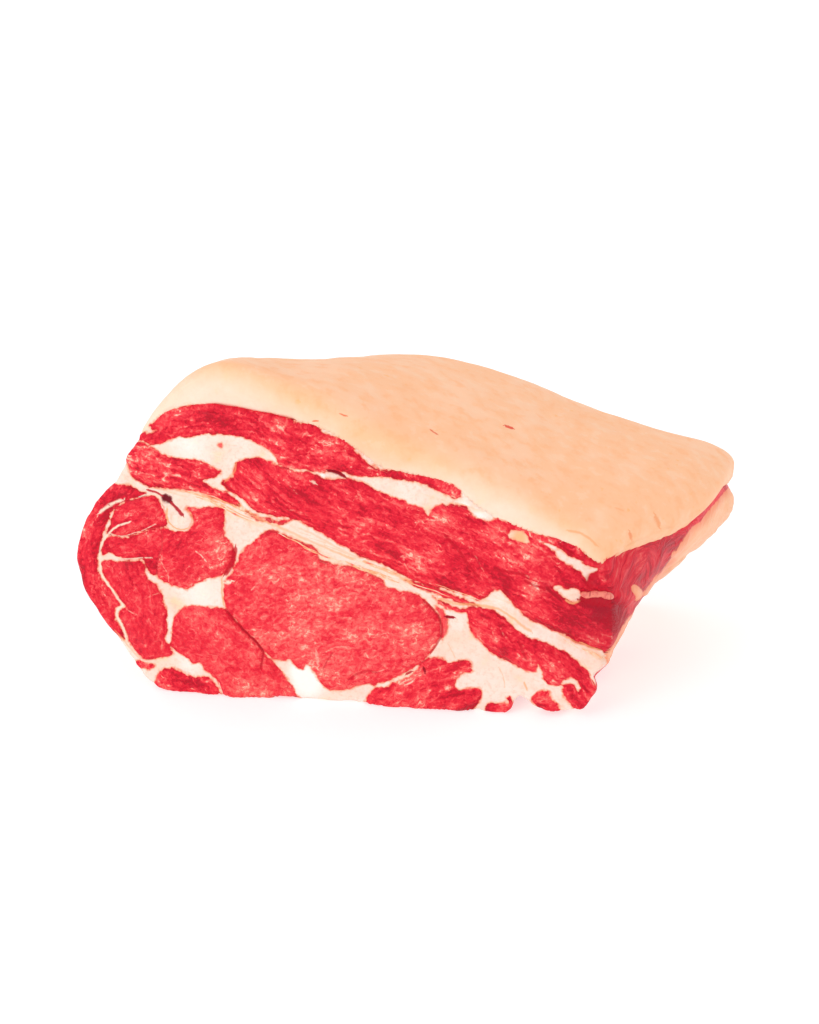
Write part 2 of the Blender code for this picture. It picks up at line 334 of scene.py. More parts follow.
# %% The muscles' outlines, in photo pixels
BROAD_SPINE = [
    (214, 436), (246, 468), (280, 496), (312, 514), (350, 530), (400, 550), (450, 574), (500, 602),
    (550, 628), (640, 670)]
MUSCLES = {
    "eye": (0.61, 0.8, 0.1, [(200, 622), (330, 606), (460, 590)], [(224, 584), (232, 572), (240, 556),
        (246, 547), (256, 540), (263, 533), (273, 531), (283, 534), (292, 538), (302, 543), (312, 546),
        (318, 552), (320, 560), (335, 564), (355, 567), (370, 573), (380, 579), (388, 587), (400, 591),
        (412, 592), (423, 599), (432, 608), (438, 616), (441, 630), (436, 645), (424, 660), (406, 672),
        (395, 678), (385, 682), (373, 684), (360, 684), (349, 689), (338, 690), (331, 690), (324, 686),
        (317, 676), (311, 668), (307, 665), (303, 668), (298, 668), (293, 662), (288, 659), (280, 660),
        (272, 658), (263, 650), (256, 643), (239, 624), (226, 608)]),
    "eye_rim": (0.84, 0.7, 0.6, [(430, 590), (444, 620), (436, 660)], [(434, 605), (441, 609), (447, 617),
        (448, 626), (446, 633), (442, 640), (441, 632), (441, 621), (438, 612)]),
    "under_eye": (0.6, 0.75, 0.1, [(150, 610), (240, 665), (320, 720)], [(182, 609), (190, 606),
        (208, 607), (226, 609), (235, 620), (247, 634), (259, 645), (265, 652), (272, 661), (281, 671),
        (289, 682), (295, 692), (301, 701), (306, 716), (226, 716), (224, 699), (221, 690), (217, 681),
        (207, 671), (200, 663), (193, 663), (186, 657), (176, 650), (171, 645), (172, 630), (175, 617)]),
    "under_eye_toe": (0.46, 1.4, 0.4, [(140, 668), (185, 690), (240, 710)], [(158, 673), (163, 669),
        (172, 668), (181, 671), (190, 674), (197, 677), (203, 675), (211, 679), (217, 685), (220, 693),
        (222, 716), (176, 712), (160, 698), (155, 684)]),
    "heel_scrap": (0.45, 1.2, 0.2, [(120, 660), (170, 670)], [(136, 661), (146, 663), (154, 665),
        (152, 669), (143, 668), (134, 668)]),
    "outer_crescent": (0.37, 1.4, 0.5, [(140, 468), (108, 494), (86, 530), (81, 570), (94, 604),
        (118, 636), (150, 668)], [(116, 484), (124, 485), (132, 487), (140, 491), (147, 494), (139, 497),
        (128, 500), (116, 506), (110, 516), (105, 529), (101, 541), (99, 551), (98, 561), (99, 572),
        (104, 581), (111, 589), (117, 597), (121, 605), (116, 608), (115, 616), (119, 624), (125, 639),
        (112, 631), (100, 622), (78, 596), (62, 548), (76, 500), (100, 476)]),
    "inner_left": (0.42, 0.9, 0.15, [(116, 540), (124, 575), (142, 615), (152, 665)], [(102, 562),
        (114, 561), (128, 562), (142, 561), (146, 573), (149, 579), (156, 585), (161, 593), (164, 602),
        (167, 614), (167, 628), (166, 640), (174, 653), (160, 657), (147, 660), (137, 652), (130, 642),
        (127, 634), (123, 623), (119, 616), (121, 609), (125, 606), (120, 598), (114, 590), (108, 581),
        (103, 572)]),
    "middle_left": (0.41, 1.0, 0.2, [(84, 552), (130, 548), (190, 542)], [(102, 548), (105, 541),
        (111, 536), (124, 538), (134, 536), (143, 532), (156, 529), (166, 530), (172, 545), (165, 562),
        (156, 575), (148, 570), (142, 559), (126, 558), (117, 556), (109, 552), (102, 556)]),
    "upper_left": (0.4, 1.1, 0.2, [(92, 534), (130, 516), (180, 506)], [(107, 533), (110, 523),
        (113, 514), (118, 507), (128, 501), (140, 498), (150, 496), (158, 499), (163, 507), (167, 518),
        (166, 526), (155, 528), (143, 531), (134, 534), (124, 536), (113, 535)]),
    "round_left": (0.55, 0.95, 0.1, [(140, 570), (190, 548), (250, 530)], [(186, 508), (200, 508),
        (214, 507), (223, 508), (225, 520), (224, 534), (229, 542), (234, 548), (235, 560), (228, 571),
        (220, 576), (206, 579), (194, 585), (187, 589), (176, 586), (163, 581), (156, 573), (152, 560),
        (156, 540), (162, 527), (172, 531), (186, 531), (194, 523), (192, 514)]),
    "second_layer": (0.48, 1.55, 0.55, [(90, 446), (130, 461), (165, 472), (200, 482), (230, 498),
        (262, 516)], [(122, 452), (138, 442), (150, 446), (158, 452), (170, 457), (185, 459), (200, 461),
        (210, 466), (221, 472), (215, 477), (205, 479), (203, 482), (214, 488), (228, 494), (240, 505),
        (226, 503), (206, 495), (193, 491), (180, 489), (165, 488), (150, 487), (140, 482), (132, 477),
        (129, 470), (127, 463), (116, 460)]),
    "top_layer": (0.44, 1.4, 0.4, [(112, 470), (132, 446), (152, 431), (176, 420), (210, 417), (246, 424),
        (280, 440), (312, 452), (346, 462), (378, 474), (412, 478), (460, 494), (510, 516)], [(136, 439),
        (141, 434), (147, 434), (153, 432), (158, 430), (152, 429), (148, 426), (153, 424), (158, 419),
        (163, 413), (170, 411), (179, 409), (190, 407), (200, 405), (212, 404), (226, 407), (240, 409),
        (255, 411), (270, 414), (283, 418), (295, 423), (303, 425), (309, 424), (317, 427), (324, 434),
        (333, 437), (343, 441), (351, 448), (359, 455), (367, 463), (375, 468), (383, 471), (394, 472),
        (412, 475), (425, 477), (439, 480), (452, 485), (460, 491), (461, 496), (456, 499), (449, 496),
        (438, 491), (427, 485), (415, 482), (400, 480), (386, 478), (371, 477), (356, 475), (345, 473),
        (330, 472), (306, 470), (288, 468), (281, 465), (276, 457), (271, 451), (262, 446), (252, 440),
        (240, 436), (216, 434), (200, 434), (192, 437), (182, 436), (172, 439), (163, 443), (150, 444),
        (143, 441)]),
    "broad_left": (0.43, 1.3, 0.55, BROAD_SPINE, [(221, 482), (231, 478), (234, 470), (237, 462),
        (245, 459), (255, 458), (265, 460), (273, 463), (281, 467), (290, 470), (308, 472), (326, 478),
        (344, 479), (358, 481), (366, 484), (374, 490), (384, 494), (394, 498), (404, 500), (410, 504),
        (419, 507), (425, 511), (428, 516), (431, 510), (438, 505), (448, 504), (458, 505), (466, 507),
        (473, 515), (482, 520), (492, 523), (506, 530), (508, 545), (508, 574), (496, 589), (486, 596),
        (479, 601), (472, 597), (456, 592), (443, 588), (425, 585), (412, 580), (400, 573), (380, 563),
        (360, 556), (350, 549), (334, 541), (316, 530), (300, 521), (290, 518), (270, 515), (252, 509),
        (248, 503), (240, 497), (228, 490)]),
    "broad_right": (0.43, 1.3, 0.55, BROAD_SPINE, [(488, 526), (494, 520), (499, 519), (506, 521),
        (515, 526), (524, 529), (536, 535), (547, 538), (560, 539), (573, 545), (582, 551), (591, 559),
        (598, 563), (606, 556), (622, 575), (624, 600), (616, 664), (603, 651), (592, 647), (581, 644),
        (572, 640), (562, 633), (550, 629), (539, 623), (529, 619), (521, 612), (512, 602), (501, 591),
        (492, 590), (480, 584), (474, 550)]),
    "right_toe": (0.43, 1.25, 0.5, [(410, 578), (448, 602), (480, 622), (520, 646), (556, 672),
        (586, 702), (604, 736)], [(432, 596), (440, 600), (452, 606), (464, 609), (474, 607), (486, 608),
        (498, 613), (506, 619), (512, 625), (519, 632), (530, 638), (544, 642), (556, 648), (568, 654),
        (579, 663), (588, 672), (592, 680), (597, 692), (606, 704), (590, 718), (578, 712), (570, 704),
        (564, 696), (562, 686), (554, 686), (545, 681), (542, 671), (538, 664), (535, 671), (524, 669),
        (508, 661), (494, 655), (487, 648), (480, 640), (472, 634), (469, 624), (467, 613), (458, 612),
        (446, 608), (437, 601)]),
    "toe_scrap": (0.5, 1.3, 0.3, [(520, 690), (570, 712)], [(533, 699), (540, 692), (548, 691),
        (552, 697), (560, 709), (562, 718), (548, 718), (543, 706)]),
    "foot_scrap": (0.45, 1.3, 0.4, [(470, 712), (530, 704)], [(487, 704), (496, 703), (505, 703),
        (505, 698), (509, 697), (511, 703), (511, 718), (487, 718)]),
    "foot": (0.42, 1.3, 0.5, [(340, 716), (390, 696), (436, 676), (500, 664)], [(364, 704), (368, 696),
        (374, 689), (385, 687), (394, 683), (405, 678), (412, 674), (418, 667), (427, 659), (440, 658),
        (448, 662), (458, 661), (469, 660), (472, 671), (462, 674), (456, 680), (454, 688), (460, 690),
        (470, 688), (481, 689), (482, 694), (478, 702), (473, 710), (470, 718), (362, 718)]),
    "seam_shred_left": (0.6, 1.0, 0.9, [(230, 506), (280, 522)], [(246, 511), (258, 516), (272, 519),
        (262, 521), (250, 516)]),
    "seam_shred_right": (0.6, 1.0, 0.9, [(260, 524), (300, 516)], [(268, 522), (280, 520), (294, 518),
        (282, 524)]),
    "seam_thread": (0.5, 0.9, 0.6, [(400, 577), (440, 590), (480, 606)], [(405, 580), (420, 583),
        (436, 588), (452, 594), (466, 600), (479, 606), (466, 604), (452, 600), (436, 594), (420, 588)]),
    "fat_fleck": (0.84, 0.5, 0.0, [(200, 445), (240, 445)], [(219, 444), (222, 444), (222, 447),
        (219, 447)]),
}
ISLANDS = {
    "right_wedge": [(544, 543), (554, 545), (564, 552), (573, 557), (582, 562), (591, 567), (597, 569),
        (596, 572), (590, 575), (588, 583), (586, 580), (580, 572), (572, 567), (563, 562), (557, 558),
        (553, 551)],
    "right_patch": [(508, 534), (511, 529), (517, 531), (524, 532), (529, 537), (528, 543), (521, 542),
        (514, 539), (509, 538)],
    "right_nodule": [(553, 587), (558, 585), (565, 588), (574, 588), (580, 591), (581, 597), (577, 601),
        (571, 602), (564, 598), (558, 592)],
    "toe_patch": [(561, 684), (565, 679), (571, 677), (577, 681), (581, 688), (577, 690), (573, 685),
        (567, 685)],
    "bright_knot": [(315, 474), (320, 471), (327, 472), (329, 475), (322, 477)],
}

# %% [markdown]
# Three kinds of thin line cross the cut. White sheets part some muscles that otherwise touch, and a few
# short white marks listed with them are painted highlights, glints of the wet meat. Where muscles have
# pulled apart, a cleft stays: it is sunk in the mesh and crimson, and in the deepest clefts and holes
# its near-black is painted shade; one line listed with them is the vessel's painted shadow. Golden
# lines run through the fat, where its dried edge or a fibre shows. None of them is an area. A line
# thinner than the mesh can't be kept as a plain distance, because its middle falls between two
# vertices. So each vertex keeps on which side of the line it lies as well, and the sign turns over
# exactly on the line.

# %% The thin lines: half width in mm, strength from 0 to 1, path in photo pixels
SHEETS_AND_GLINTS = [
    (0.55, 1.0, [(130, 521), (118, 525), (109, 533), (103, 541), (100, 549), (100, 558), (101, 572),
        (106, 581), (113, 590), (118, 598), (123, 605), (118, 609), (117, 615), (121, 623), (126, 638)]),
    (0.35, 0.6, [(123, 605), (129, 610), (137, 614)]),
    (0.4, 0.8, [(112, 534), (124, 536), (134, 533), (143, 530), (155, 524)]),
    (0.4, 0.8, [(101, 558), (109, 554), (116, 557), (126, 559), (140, 558), (152, 557)]),
    (0.95, 1.0, [(101, 512), (110, 505), (122, 500)]),
    (0.5, 1.0, [(140, 497), (148, 494), (156, 495), (161, 501), (163, 508)]),
    (0.35, 0.6, [(161, 559), (165, 566), (168, 572), (169, 580)]),
    (0.3, 0.5, [(147, 597), (153, 594), (160, 593)]),
    (0.35, 0.75, [(196, 550), (202, 555), (206, 560)]),
    (0.3, 0.9, [(219, 682), (222, 692), (223, 699)]),
    (0.3, 0.5, [(420, 587), (440, 598), (462, 604)]),
    (0.4, 0.65, [(297, 611), (305, 610), (314, 611)]),
    (0.3, 0.5, [(300, 616), (306, 615), (311, 616)]),
    (0.35, 0.5, [(262, 606), (268, 605), (274, 602)]),
    (0.35, 0.5, [(291, 627), (299, 625), (306, 624)]),
    (0.4, 0.55, [(318, 625), (328, 624), (336, 621)]),
    (0.4, 0.6, [(252, 589), (256, 585), (259, 581)]),
    (1.2, 1.0, [(227, 582), (230, 581)]),
    (0.35, 0.5, [(341, 617), (349, 616), (357, 617)]),
    (0.4, 0.6, [(241, 613), (243, 611), (245, 609)]),
    (0.4, 0.6, [(326, 651), (333, 647), (342, 645), (350, 646)]),
    (0.8, 0.65, [(317, 651), (318, 656), (318, 661)]),
    (0.4, 0.6, [(373, 671), (380, 670), (387, 667)]),
    # a painted highlight: a glint on the wet meat
    (0.8, 0.8, [(313, 481), (315, 482)]),
    (0.5, 0.5, [(289, 483), (293, 486), (297, 491)]),
    # a painted highlight: a glint on the wet meat
    (0.6, 0.5, [(290, 509), (298, 510), (306, 513)]),
    (0.8, 0.5, [(356, 497), (359, 494), (361, 498)]),
    (0.55, 0.6, [(403, 555), (411, 554)]),
    (0.5, 0.55, [(404, 557), (406, 563), (410, 569)]),
    (0.5, 0.65, [(428, 519), (434, 520), (441, 519), (447, 517)]),
    (0.4, 0.5, [(457, 521), (462, 524), (465, 529)]),
    (0.45, 0.45, [(470, 548), (477, 558), (483, 568), (490, 580)]),
    (0.4, 0.5, [(492, 627), (494, 634), (497, 641)]),
    (0.4, 0.5, [(501, 627), (503, 633), (507, 637)]),
    (0.4, 0.45, [(523, 644), (527, 651), (532, 658)]),
    (0.4, 0.5, [(543, 665), (551, 662), (560, 661)]),
    (0.7, 0.5, [(521, 571), (530, 576), (541, 580)]),
    # a painted highlight: a glint on the wet meat
    (0.7, 0.9, [(534, 584), (537, 587)]),
    (0.6, 0.5, [(532, 543), (539, 548)]),
    (0.6, 0.55, [(648, 566), (651, 568)]),
    (0.35, 0.6, [(583, 662), (589, 672), (592, 684)]),
    # a painted highlight: a glint on the wet meat
    (0.5, 0.8, [(408, 683), (412, 681), (414, 679)]),
]
CLEFTS_AND_SHADE = [
    (0.45, 0.75, [(148, 490), (157, 493), (164, 498)]),
    # a hole whose near-black is painted shade
    (1.7, 1.0, [(165, 498), (169, 500)]),
    (0.7, 0.8, [(170, 502), (176, 508), (183, 514)]),
    (1.15, 0.72, [(235, 549), (234, 557), (231, 565), (226, 573)]),
    (0.55, 0.65, [(227, 612), (238, 624), (249, 635), (258, 644), (263, 652), (262, 660), (261, 667)]),
    (0.8, 0.88, [(329, 471), (336, 473), (344, 477)]),
    (0.7, 0.85, [(447, 617), (453, 618)]),
    (0.6, 0.85, [(424, 668), (425, 671)]),
    (0.6, 0.75, [(407, 674), (411, 672)]),
    (0.6, 0.6, [(446, 536), (456, 547), (464, 557), (470, 566), (480, 577)]),
    (0.6, 0.6, [(488, 569), (500, 570), (512, 571), (524, 574)]),
    (0.6, 0.6, [(526, 580), (534, 585), (544, 588)]),
    # the vessel's painted shadow on the meat below it
    (1.6, 0.8, [(583, 600), (598, 602), (612, 603)]),
    (0.55, 0.75, [(559, 544), (566, 549), (574, 554)]),
    (0.7, 0.8, [(547, 588), (554, 594), (560, 599)]),
    (1.5, 0.7, [(590, 586), (591, 580), (595, 575)]),
    (0.6, 0.6, [(519, 641), (522, 648), (526, 657)]),
    (0.5, 0.6, [(424, 601), (432, 608), (438, 616), (442, 626), (442, 635), (437, 644), (431, 653)]),
    (0.5, 0.5, [(350, 678), (357, 673), (368, 670), (376, 671)]),
    (0.4, 0.45, [(333, 652), (328, 659), (324, 667)]),
]
GOLDEN = [
    (0.5, 0.9, [(167, 509), (167, 516), (169, 522), (174, 527), (181, 529), (188, 528)]),
    (0.4, 0.5, [(188, 528), (192, 521), (191, 514), (187, 509)]),
    (0.6, 0.5, [(176, 490), (200, 495), (222, 501), (240, 509), (256, 516)]),
    (0.7, 0.55, [(240, 505), (252, 514), (268, 523), (286, 530), (306, 539), (328, 549), (352, 559)]),
    (0.6, 0.4, [(300, 528), (320, 538), (340, 549), (358, 558)]),
    (0.8, 0.7, [(366, 562), (384, 570), (400, 577), (412, 583)]),
    (0.8, 0.7, [(440, 598), (456, 604), (470, 604), (484, 606), (500, 610), (515, 620), (530, 631)]),
    (0.4, 0.9, [(581, 642), (591, 647), (600, 650)]),
    (0.4, 0.6, [(560, 634), (572, 640), (584, 645)]),
    (0.4, 0.6, [(499, 668), (503, 676), (505, 686)]),
    (0.5, 0.8, [(524, 683), (527, 689)]),
    (0.35, 0.4, [(448, 644), (452, 651), (455, 658)]),
    (0.45, 0.8, [(566, 600), (573, 603), (581, 600)]),
    (0.5, 0.8, [(222, 578), (222, 592), (223, 604)]),
    (0.6, 0.5, [(236, 464), (234, 472), (226, 480)]),
    (0.5, 0.5, [(116, 630), (128, 645), (138, 657)]),
]

# %% [markdown]
# Within a muscle the tone isn't even either. A few soft round zones and soft strokes along the fibres
# make it darker or paler where the photo shows it. The dark zones round the hollow below the vessel,
# at the right corner, are painted shade. In the fat, the same kind of zone makes it whiter or warmer.

# %% Zones: photo pixels, radius in pixels, change. Strokes: half width in mm, change, path in photo pixels
TONE_AND_SHADE_ZONES = [
    (134, 492, 8, -0.12), (140, 473, 9, -0.06), (105, 535, 9, -0.05), (135, 512, 11, -0.1),
    (168, 503, 6, -0.15), (172, 530, 9, -0.12), (128, 570, 12, -0.12), (150, 560, 12, -0.1),
    (180, 560, 14, -0.04), (222, 470, 9, -0.05), (212, 422, 10, -0.06), (322, 445, 14, -0.07),
    (285, 430, 14, 0.05), (270, 540, 14, -0.08), (236, 552, 7, -0.2), (245, 622, 12, -0.06),
    (235, 652, 12, -0.05), (340, 668, 16, -0.1), (320, 678, 9, -0.1), (300, 610, 25, 0.03),
    (385, 512, 26, -0.1), (415, 528, 14, -0.14), (438, 533, 9, -0.12), (450, 515, 12, 0.06),
    (490, 530, 8, 0.1), (470, 556, 12, 0.05), (480, 575, 8, 0.08), (425, 565, 18, 0.05),
    (400, 545, 20, -0.06), (330, 520, 16, -0.08), (262, 470, 12, 0.06), (560, 580, 14, -0.1),
    # the dark zones round (600, 610), in the hollow below the vessel, are painted shade
    (520, 575, 12, 0.05), (565, 608, 18, -0.12), (600, 606, 16, -0.25), (580, 630, 22, -0.12),
    (610, 620, 16, -0.15), (575, 665, 14, -0.08), (530, 650, 12, -0.04), (470, 614, 8, 0.06),
    (425, 672, 10, -0.05), (395, 697, 14, -0.1), (470, 695, 8, -0.05)]
TONE_STROKES = [
    (0.8, -0.16, [(252, 472), (263, 481), (274, 490), (286, 500)]),
    (0.7, -0.16, [(264, 474), (276, 484), (289, 494)]),
    (1.2, -0.16, [(292, 484), (304, 494), (318, 505), (334, 517), (350, 528)]),
    (0.8, -0.14, [(276, 498), (291, 509), (306, 518)]), (0.8, 0.14, [(282, 494), (294, 503), (308, 512)]),
    (0.7, 0.12, [(262, 501), (276, 510)]), (0.8, 0.12, [(326, 486), (338, 488), (350, 494)]),
    (0.9, -0.12, [(352, 500), (368, 508), (384, 518), (400, 527)]),
    (0.8, -0.12, [(342, 520), (360, 533), (378, 543)]), (0.7, 0.12, [(366, 535), (380, 538), (392, 541)]),
    (0.9, -0.15, [(268, 424), (278, 434), (286, 446)]), (0.7, 0.15, [(276, 424), (283, 432)]),
    (0.7, 0.15, [(270, 436), (278, 444)]), (0.8, -0.12, [(228, 419), (250, 426), (262, 436)]),
    (0.9, -0.12, [(176, 430), (200, 426), (224, 422)]),
    (0.8, -0.12, [(340, 446), (352, 456), (366, 467)]),
    (0.8, -0.15, [(136, 462), (146, 474), (156, 482)]), (0.8, 0.12, [(150, 452), (164, 462), (178, 468)]),
    (0.7, -0.14, [(160, 458), (180, 464), (204, 468)]),
    (0.7, -0.14, [(158, 474), (180, 480), (206, 486)]), (0.7, 0.14, [(166, 472), (186, 476), (204, 478)]),
    (0.9, -0.16, [(500, 625), (503, 638), (507, 648)]), (0.7, 0.16, [(494, 628), (497, 640)]),
    (1.0, -0.14, [(570, 660), (580, 674), (586, 690)]), (0.9, 0.12, [(520, 556), (540, 562), (556, 572)]),
    (0.8, -0.12, [(508, 536), (520, 548), (534, 556)]), (0.9, 0.12, [(540, 546), (556, 562), (572, 578)])]
FAT_ZONES = [  # above 0 whiter, below 0 warmer
    (308, 683, 17, 1.0), (297, 670, 9, 0.6), (200, 592, 24, 0.5), (190, 662, 16, 0.4), (168, 625, 9, 0.4),
    (190, 447, 22, 0.5), (540, 635, 26, 0.3), (497, 600, 10, 0.4), (321, 474, 6, 0.9), (464, 505, 7, 0.6),
    (480, 514, 8, 0.6), (520, 537, 10, -0.9), (455, 640, 14, -0.25), (592, 650, 14, -0.25),
    (572, 595, 12, -0.2)]


# %% [markdown]
# In the long seams the fat isn't even: the sheets of the muscles on both sides run through it as
# orange and pink fibres. Each such seam gets a spine and a half width, and the fat near it takes its
# grain from it.

# %% The fibrous seams: half width in mm and spine in photo pixels
FIBROUS_SEAMS = [
    (4.5, [(140, 482), (166, 486), (191, 493), (215, 501), (240, 514), (270, 526), (300, 540), (330, 553),
        (360, 563), (400, 577), (440, 590), (480, 606)]),
    (3.5, [(398, 573), (430, 586), (460, 596), (490, 600), (520, 614), (560, 634), (604, 660)]),
    (3.0, [(380, 474), (410, 484), (440, 496), (470, 506)]),
]

# %% Helpers that measure how far places lie from outlines and lines
FAR_PIXELS = 16  # farther away than this, nothing is measured
NO_LINE = 50.0


def smooth_path(corners, closed, steps=5):
    """A smooth path through the given corners."""
    corners = np.array(corners, float)
    if closed:
        corners = np.vstack([corners[-1:], corners, corners[:2]])
    else:
        corners = np.vstack([2 * corners[0] - corners[1], corners, 2 * corners[-1] - corners[-2]])
    t = np.linspace(0, 1, steps, endpoint=False)[:, None]
    spans = [
        0.5 * (2 * b + (c - a) * t + (2 * a - 5 * b + 4 * c - d) * t**2 + (3 * b - 3 * c + d - a) * t**3)
        for a, b, c, d in zip(corners, corners[1:], corners[2:], corners[3:])
    ]
    return np.vstack(spans + [corners[-2:-1]])


def distance_and_side(spots, path):
    """The distance of spots to a path, and on which side of it they lie."""
    start, along = path[:-1], np.diff(path, axis=0)
    length_squared = (along**2).sum(1) + 1e-9
    away = spots[:, None, :] - start[None]
    share = np.clip((away * along).sum(2) / length_squared, 0, 1)
    gap = away - share[..., None] * along
    distance = np.sqrt((gap**2).sum(2))
    nearest = distance.argmin(1)
    rows = np.arange(len(spots))
    near_along, near_gap = along[nearest], away[rows, nearest]
    side = np.sign(near_along[:, 0] * near_gap[:, 1] - near_along[:, 1] * near_gap[:, 0])
    return distance[rows, nearest], side


def near_spots(spots, path):
    """The numbers of the spots in the box round a path."""
    low, high = path.min(0) - FAR_PIXELS, path.max(0) + FAR_PIXELS
    return np.where(((spots > low) & (spots < high)).all(1))[0]


def inside_outline(spots, path):
    """Whether spots lie inside a closed path."""
    x, y = spots[:, :1], spots[:, 1:]
    (x1, y1), (x2, y2) = path[:-1].T, path[1:].T
    crosses = (y1 > y) != (y2 > y)
    reach = x1 + (y - y1) / np.where(y2 == y1, 1e-9, y2 - y1) * (x2 - x1)
    return (crosses & (x < reach)).sum(1) % 2 == 1


def outline_field(spots, corners):
    """The distance of spots to an outline in millimetres, positive inside it."""
    path = smooth_path(corners, closed=True)
    field = np.full(len(spots), -FAR_PIXELS * PIXEL_MM)
    near = near_spots(spots, path)
    distance, _ = distance_and_side(spots[near], path)
    distance = distance * PIXEL_MM
    field[near] = np.where(inside_outline(spots[near], path), distance, -distance)
    return field


def along_and_aside(spots, corners):
    """How far along a spine spots lie, and how far to its side, in millimetres."""
    path = smooth_path(corners, closed=False)
    start, along = path[:-1], np.diff(path, axis=0)
    lengths = np.hypot(*along.T)
    ahead = along / lengths[:, None]
    run = np.concatenate([[0], np.cumsum(lengths)[:-1]])
    away = spots[:, None, :] - start[None]
    share = (away * ahead).sum(2)
    share[:, 1:] = np.clip(share[:, 1:], 0, None)
    share[:, :-1] = np.clip(share[:, :-1], None, lengths[:-1])
    gap = away - share[..., None] * ahead
    nearest = (gap**2).sum(2).argmin(1)
    rows = np.arange(len(spots))
    near_gap, near_ahead = gap[rows, nearest], ahead[nearest]
    aside = near_ahead[:, 0] * near_gap[:, 1] - near_ahead[:, 1] * near_gap[:, 0]
    return (run[nearest] + share[rows, nearest]) * PIXEL_MM, aside * PIXEL_MM


def line_fields(spots, lines):
    """How far spots lie from the nearest line, the same with the side's sign, and that line's strength.

    Both distances are in half widths of the line.
    """
    closest = np.full(len(spots), NO_LINE)
    sided, strengths = closest.copy(), np.zeros(len(spots))
    for half_width, strength, corners in lines:
        path = smooth_path(corners, closed=False)
        near = near_spots(spots, path)
        distance, side = distance_and_side(spots[near], path)
        distance = distance * PIXEL_MM / half_width
        nearer = distance < closest[near]
        closest[near[nearer]] = distance[nearer]
        sided[near[nearer]] = (distance * side)[nearer]
        strengths[near[nearer]] = strength
    return closest, sided, strengths


# %% Measure how far every point lies from the outlines and the lines
CLEFTS_WEAKEN = 30 * MM  # farther behind the front cut, the clefts are half as strong

fields = np.stack([outline_field(pixels, muscle[-1]) for muscle in MUSCLES.values()])
owner = fields.argmax(0)
island = np.stack([outline_field(pixels, corners) for corners in ISLANDS.values()]).max(0)
edge = np.minimum(fields.max(0), -island)
paleness, contrast, stringy = np.array([muscle[:3] for muscle in MUSCLES.values()]).T[:, owner]
sheet_near, sheet_side, sheet_strength = line_fields(pixels, SHEETS_AND_GLINTS)
cleft_near, cleft_side, cleft_strength = line_fields(pixels, CLEFTS_AND_SHADE)
golden_near, golden_side, golden_strength = line_fields(pixels, GOLDEN)
on_cut = np.clip((np.abs(normals[:, 1]) - 0.45) / 0.3, 0, 1)
sheet_strength, cleft_strength = sheet_strength * on_cut, cleft_strength * on_cut
golden_strength = golden_strength * on_cut
cleft_strength = np.where(points[:, 1] > front_y + CLEFTS_WEAKEN, 0.5, 1) * cleft_strength
print("share of the surface that is meat:", round(float((edge > 0).mean()), 2))


# %% Make places in the muscles paler or darker, and in the fat whiter or warmer
def radii_away(spots, across, down, radius):
    """How far spots lie from a place in the photo, in radii."""
    return np.hypot(spots[:, 0] - across, spots[:, 1] - down) / radius


def soft_zones(spots, zones):
    """The sum of soft round zones at spots."""
    total = np.zeros(len(spots))
    for *zone, change in zones:
        total += change * np.exp(-(radii_away(spots, *zone) ** 2))
    return total


paleness = paleness + soft_zones(pixels, TONE_AND_SHADE_ZONES)
for half_width, change, corners in TONE_STROKES:
    path = smooth_path(corners, closed=False)
    near = near_spots(pixels, path)
    reach = distance_and_side(pixels[near], path)[0] * PIXEL_MM / half_width
    paleness[near] += change * np.exp(-(reach**2))
whiter = np.clip(soft_zones(pixels, FAT_ZONES), -1, 1)
print("paleness from", round(paleness.min(), 2), "to", round(paleness.max(), 2))

# %% Give every point its grain: how far along the fibres, across them and through the joint it lies
GRAIN_THROUGH = 0.4  # fibres run through from cut to cut, so the flanks show them lengthways

grain = np.zeros((len(points), 3))
grain[:, 2] = points[:, 1] / MM * GRAIN_THROUGH
for number, muscle in enumerate(MUSCLES.values()):
    chosen = owner == number
    grain[chosen, 0], grain[chosen, 1] = along_and_aside(pixels[chosen], muscle[3])
    grain[chosen, 2] += muscle[3][0][0]  # muscles that share a spine also share their pattern

fibrous = np.zeros(len(points))
for half_width, spine in FIBROUS_SEAMS:
    near = near_spots(pixels, np.array(spine, float))
    share = np.clip(1.2 - np.abs(along_and_aside(pixels[near], spine)[1]) / half_width, 0, 1)
    share = np.where(edge[near] < 1.0, share, 0)
    more = share > fibrous[near]
    fibrous[near[more]] = share[more]
    in_fat = near[more & (edge[near] < 0)]
    grain[in_fat, 0], grain[in_fat, 1] = along_and_aside(pixels[in_fat], spine)
print("share of the surface in fibrous seams:", round(float((fibrous > 0).mean()), 2))

# %% [markdown]
# ## The right flank
#
# Behind the front cut, the right flank first shows the side of a muscle, and further back a flap
# of outer fat folds down over it. Its outline is read from the photo like the others, but through the
# points themselves and not through their section, because the flap lies on the flank. The same goes
# for the few hollows that lie deeper than the cut, where shade is painted into the colour. The flank,
# which faces away from the lamp, is painted a little darker as well.

# %% The flap of fat and the shaded places
FLAP = [
    (736, 478), (727, 487), (720, 494), (713, 502), (705, 512), (697, 521), (690, 526), (686, 532),
    (681, 540), (675, 547), (670, 552), (668, 559), (661, 567), (655, 573), (649, 581), (644, 588),
    (640, 594), (700, 610), (770, 550), (780, 470), (750, 470)]
FLANK_FAT = [
    (629, 611), (622, 621), (617, 632), (612, 643), (604, 653), (612, 676), (680, 640), (650, 600),
    (634, 608)]
FLANK_SPOT = [(628, 588), (631, 584), (636, 585), (639, 590), (637, 597), (633, 600), (630, 595)]
SHADED = [  # photo pixels, radius in pixels, share of shade
    (600, 606, 15, 1.0), (614, 607, 12, 0.8), (588, 601, 9, 0.8), (600, 632, 26, 0.45),
    (575, 622, 24, 0.3), (632, 566, 42, 0.35), (660, 545, 26, 0.35), (592, 580, 7, 0.9),
    (546, 586, 7, 0.4)]
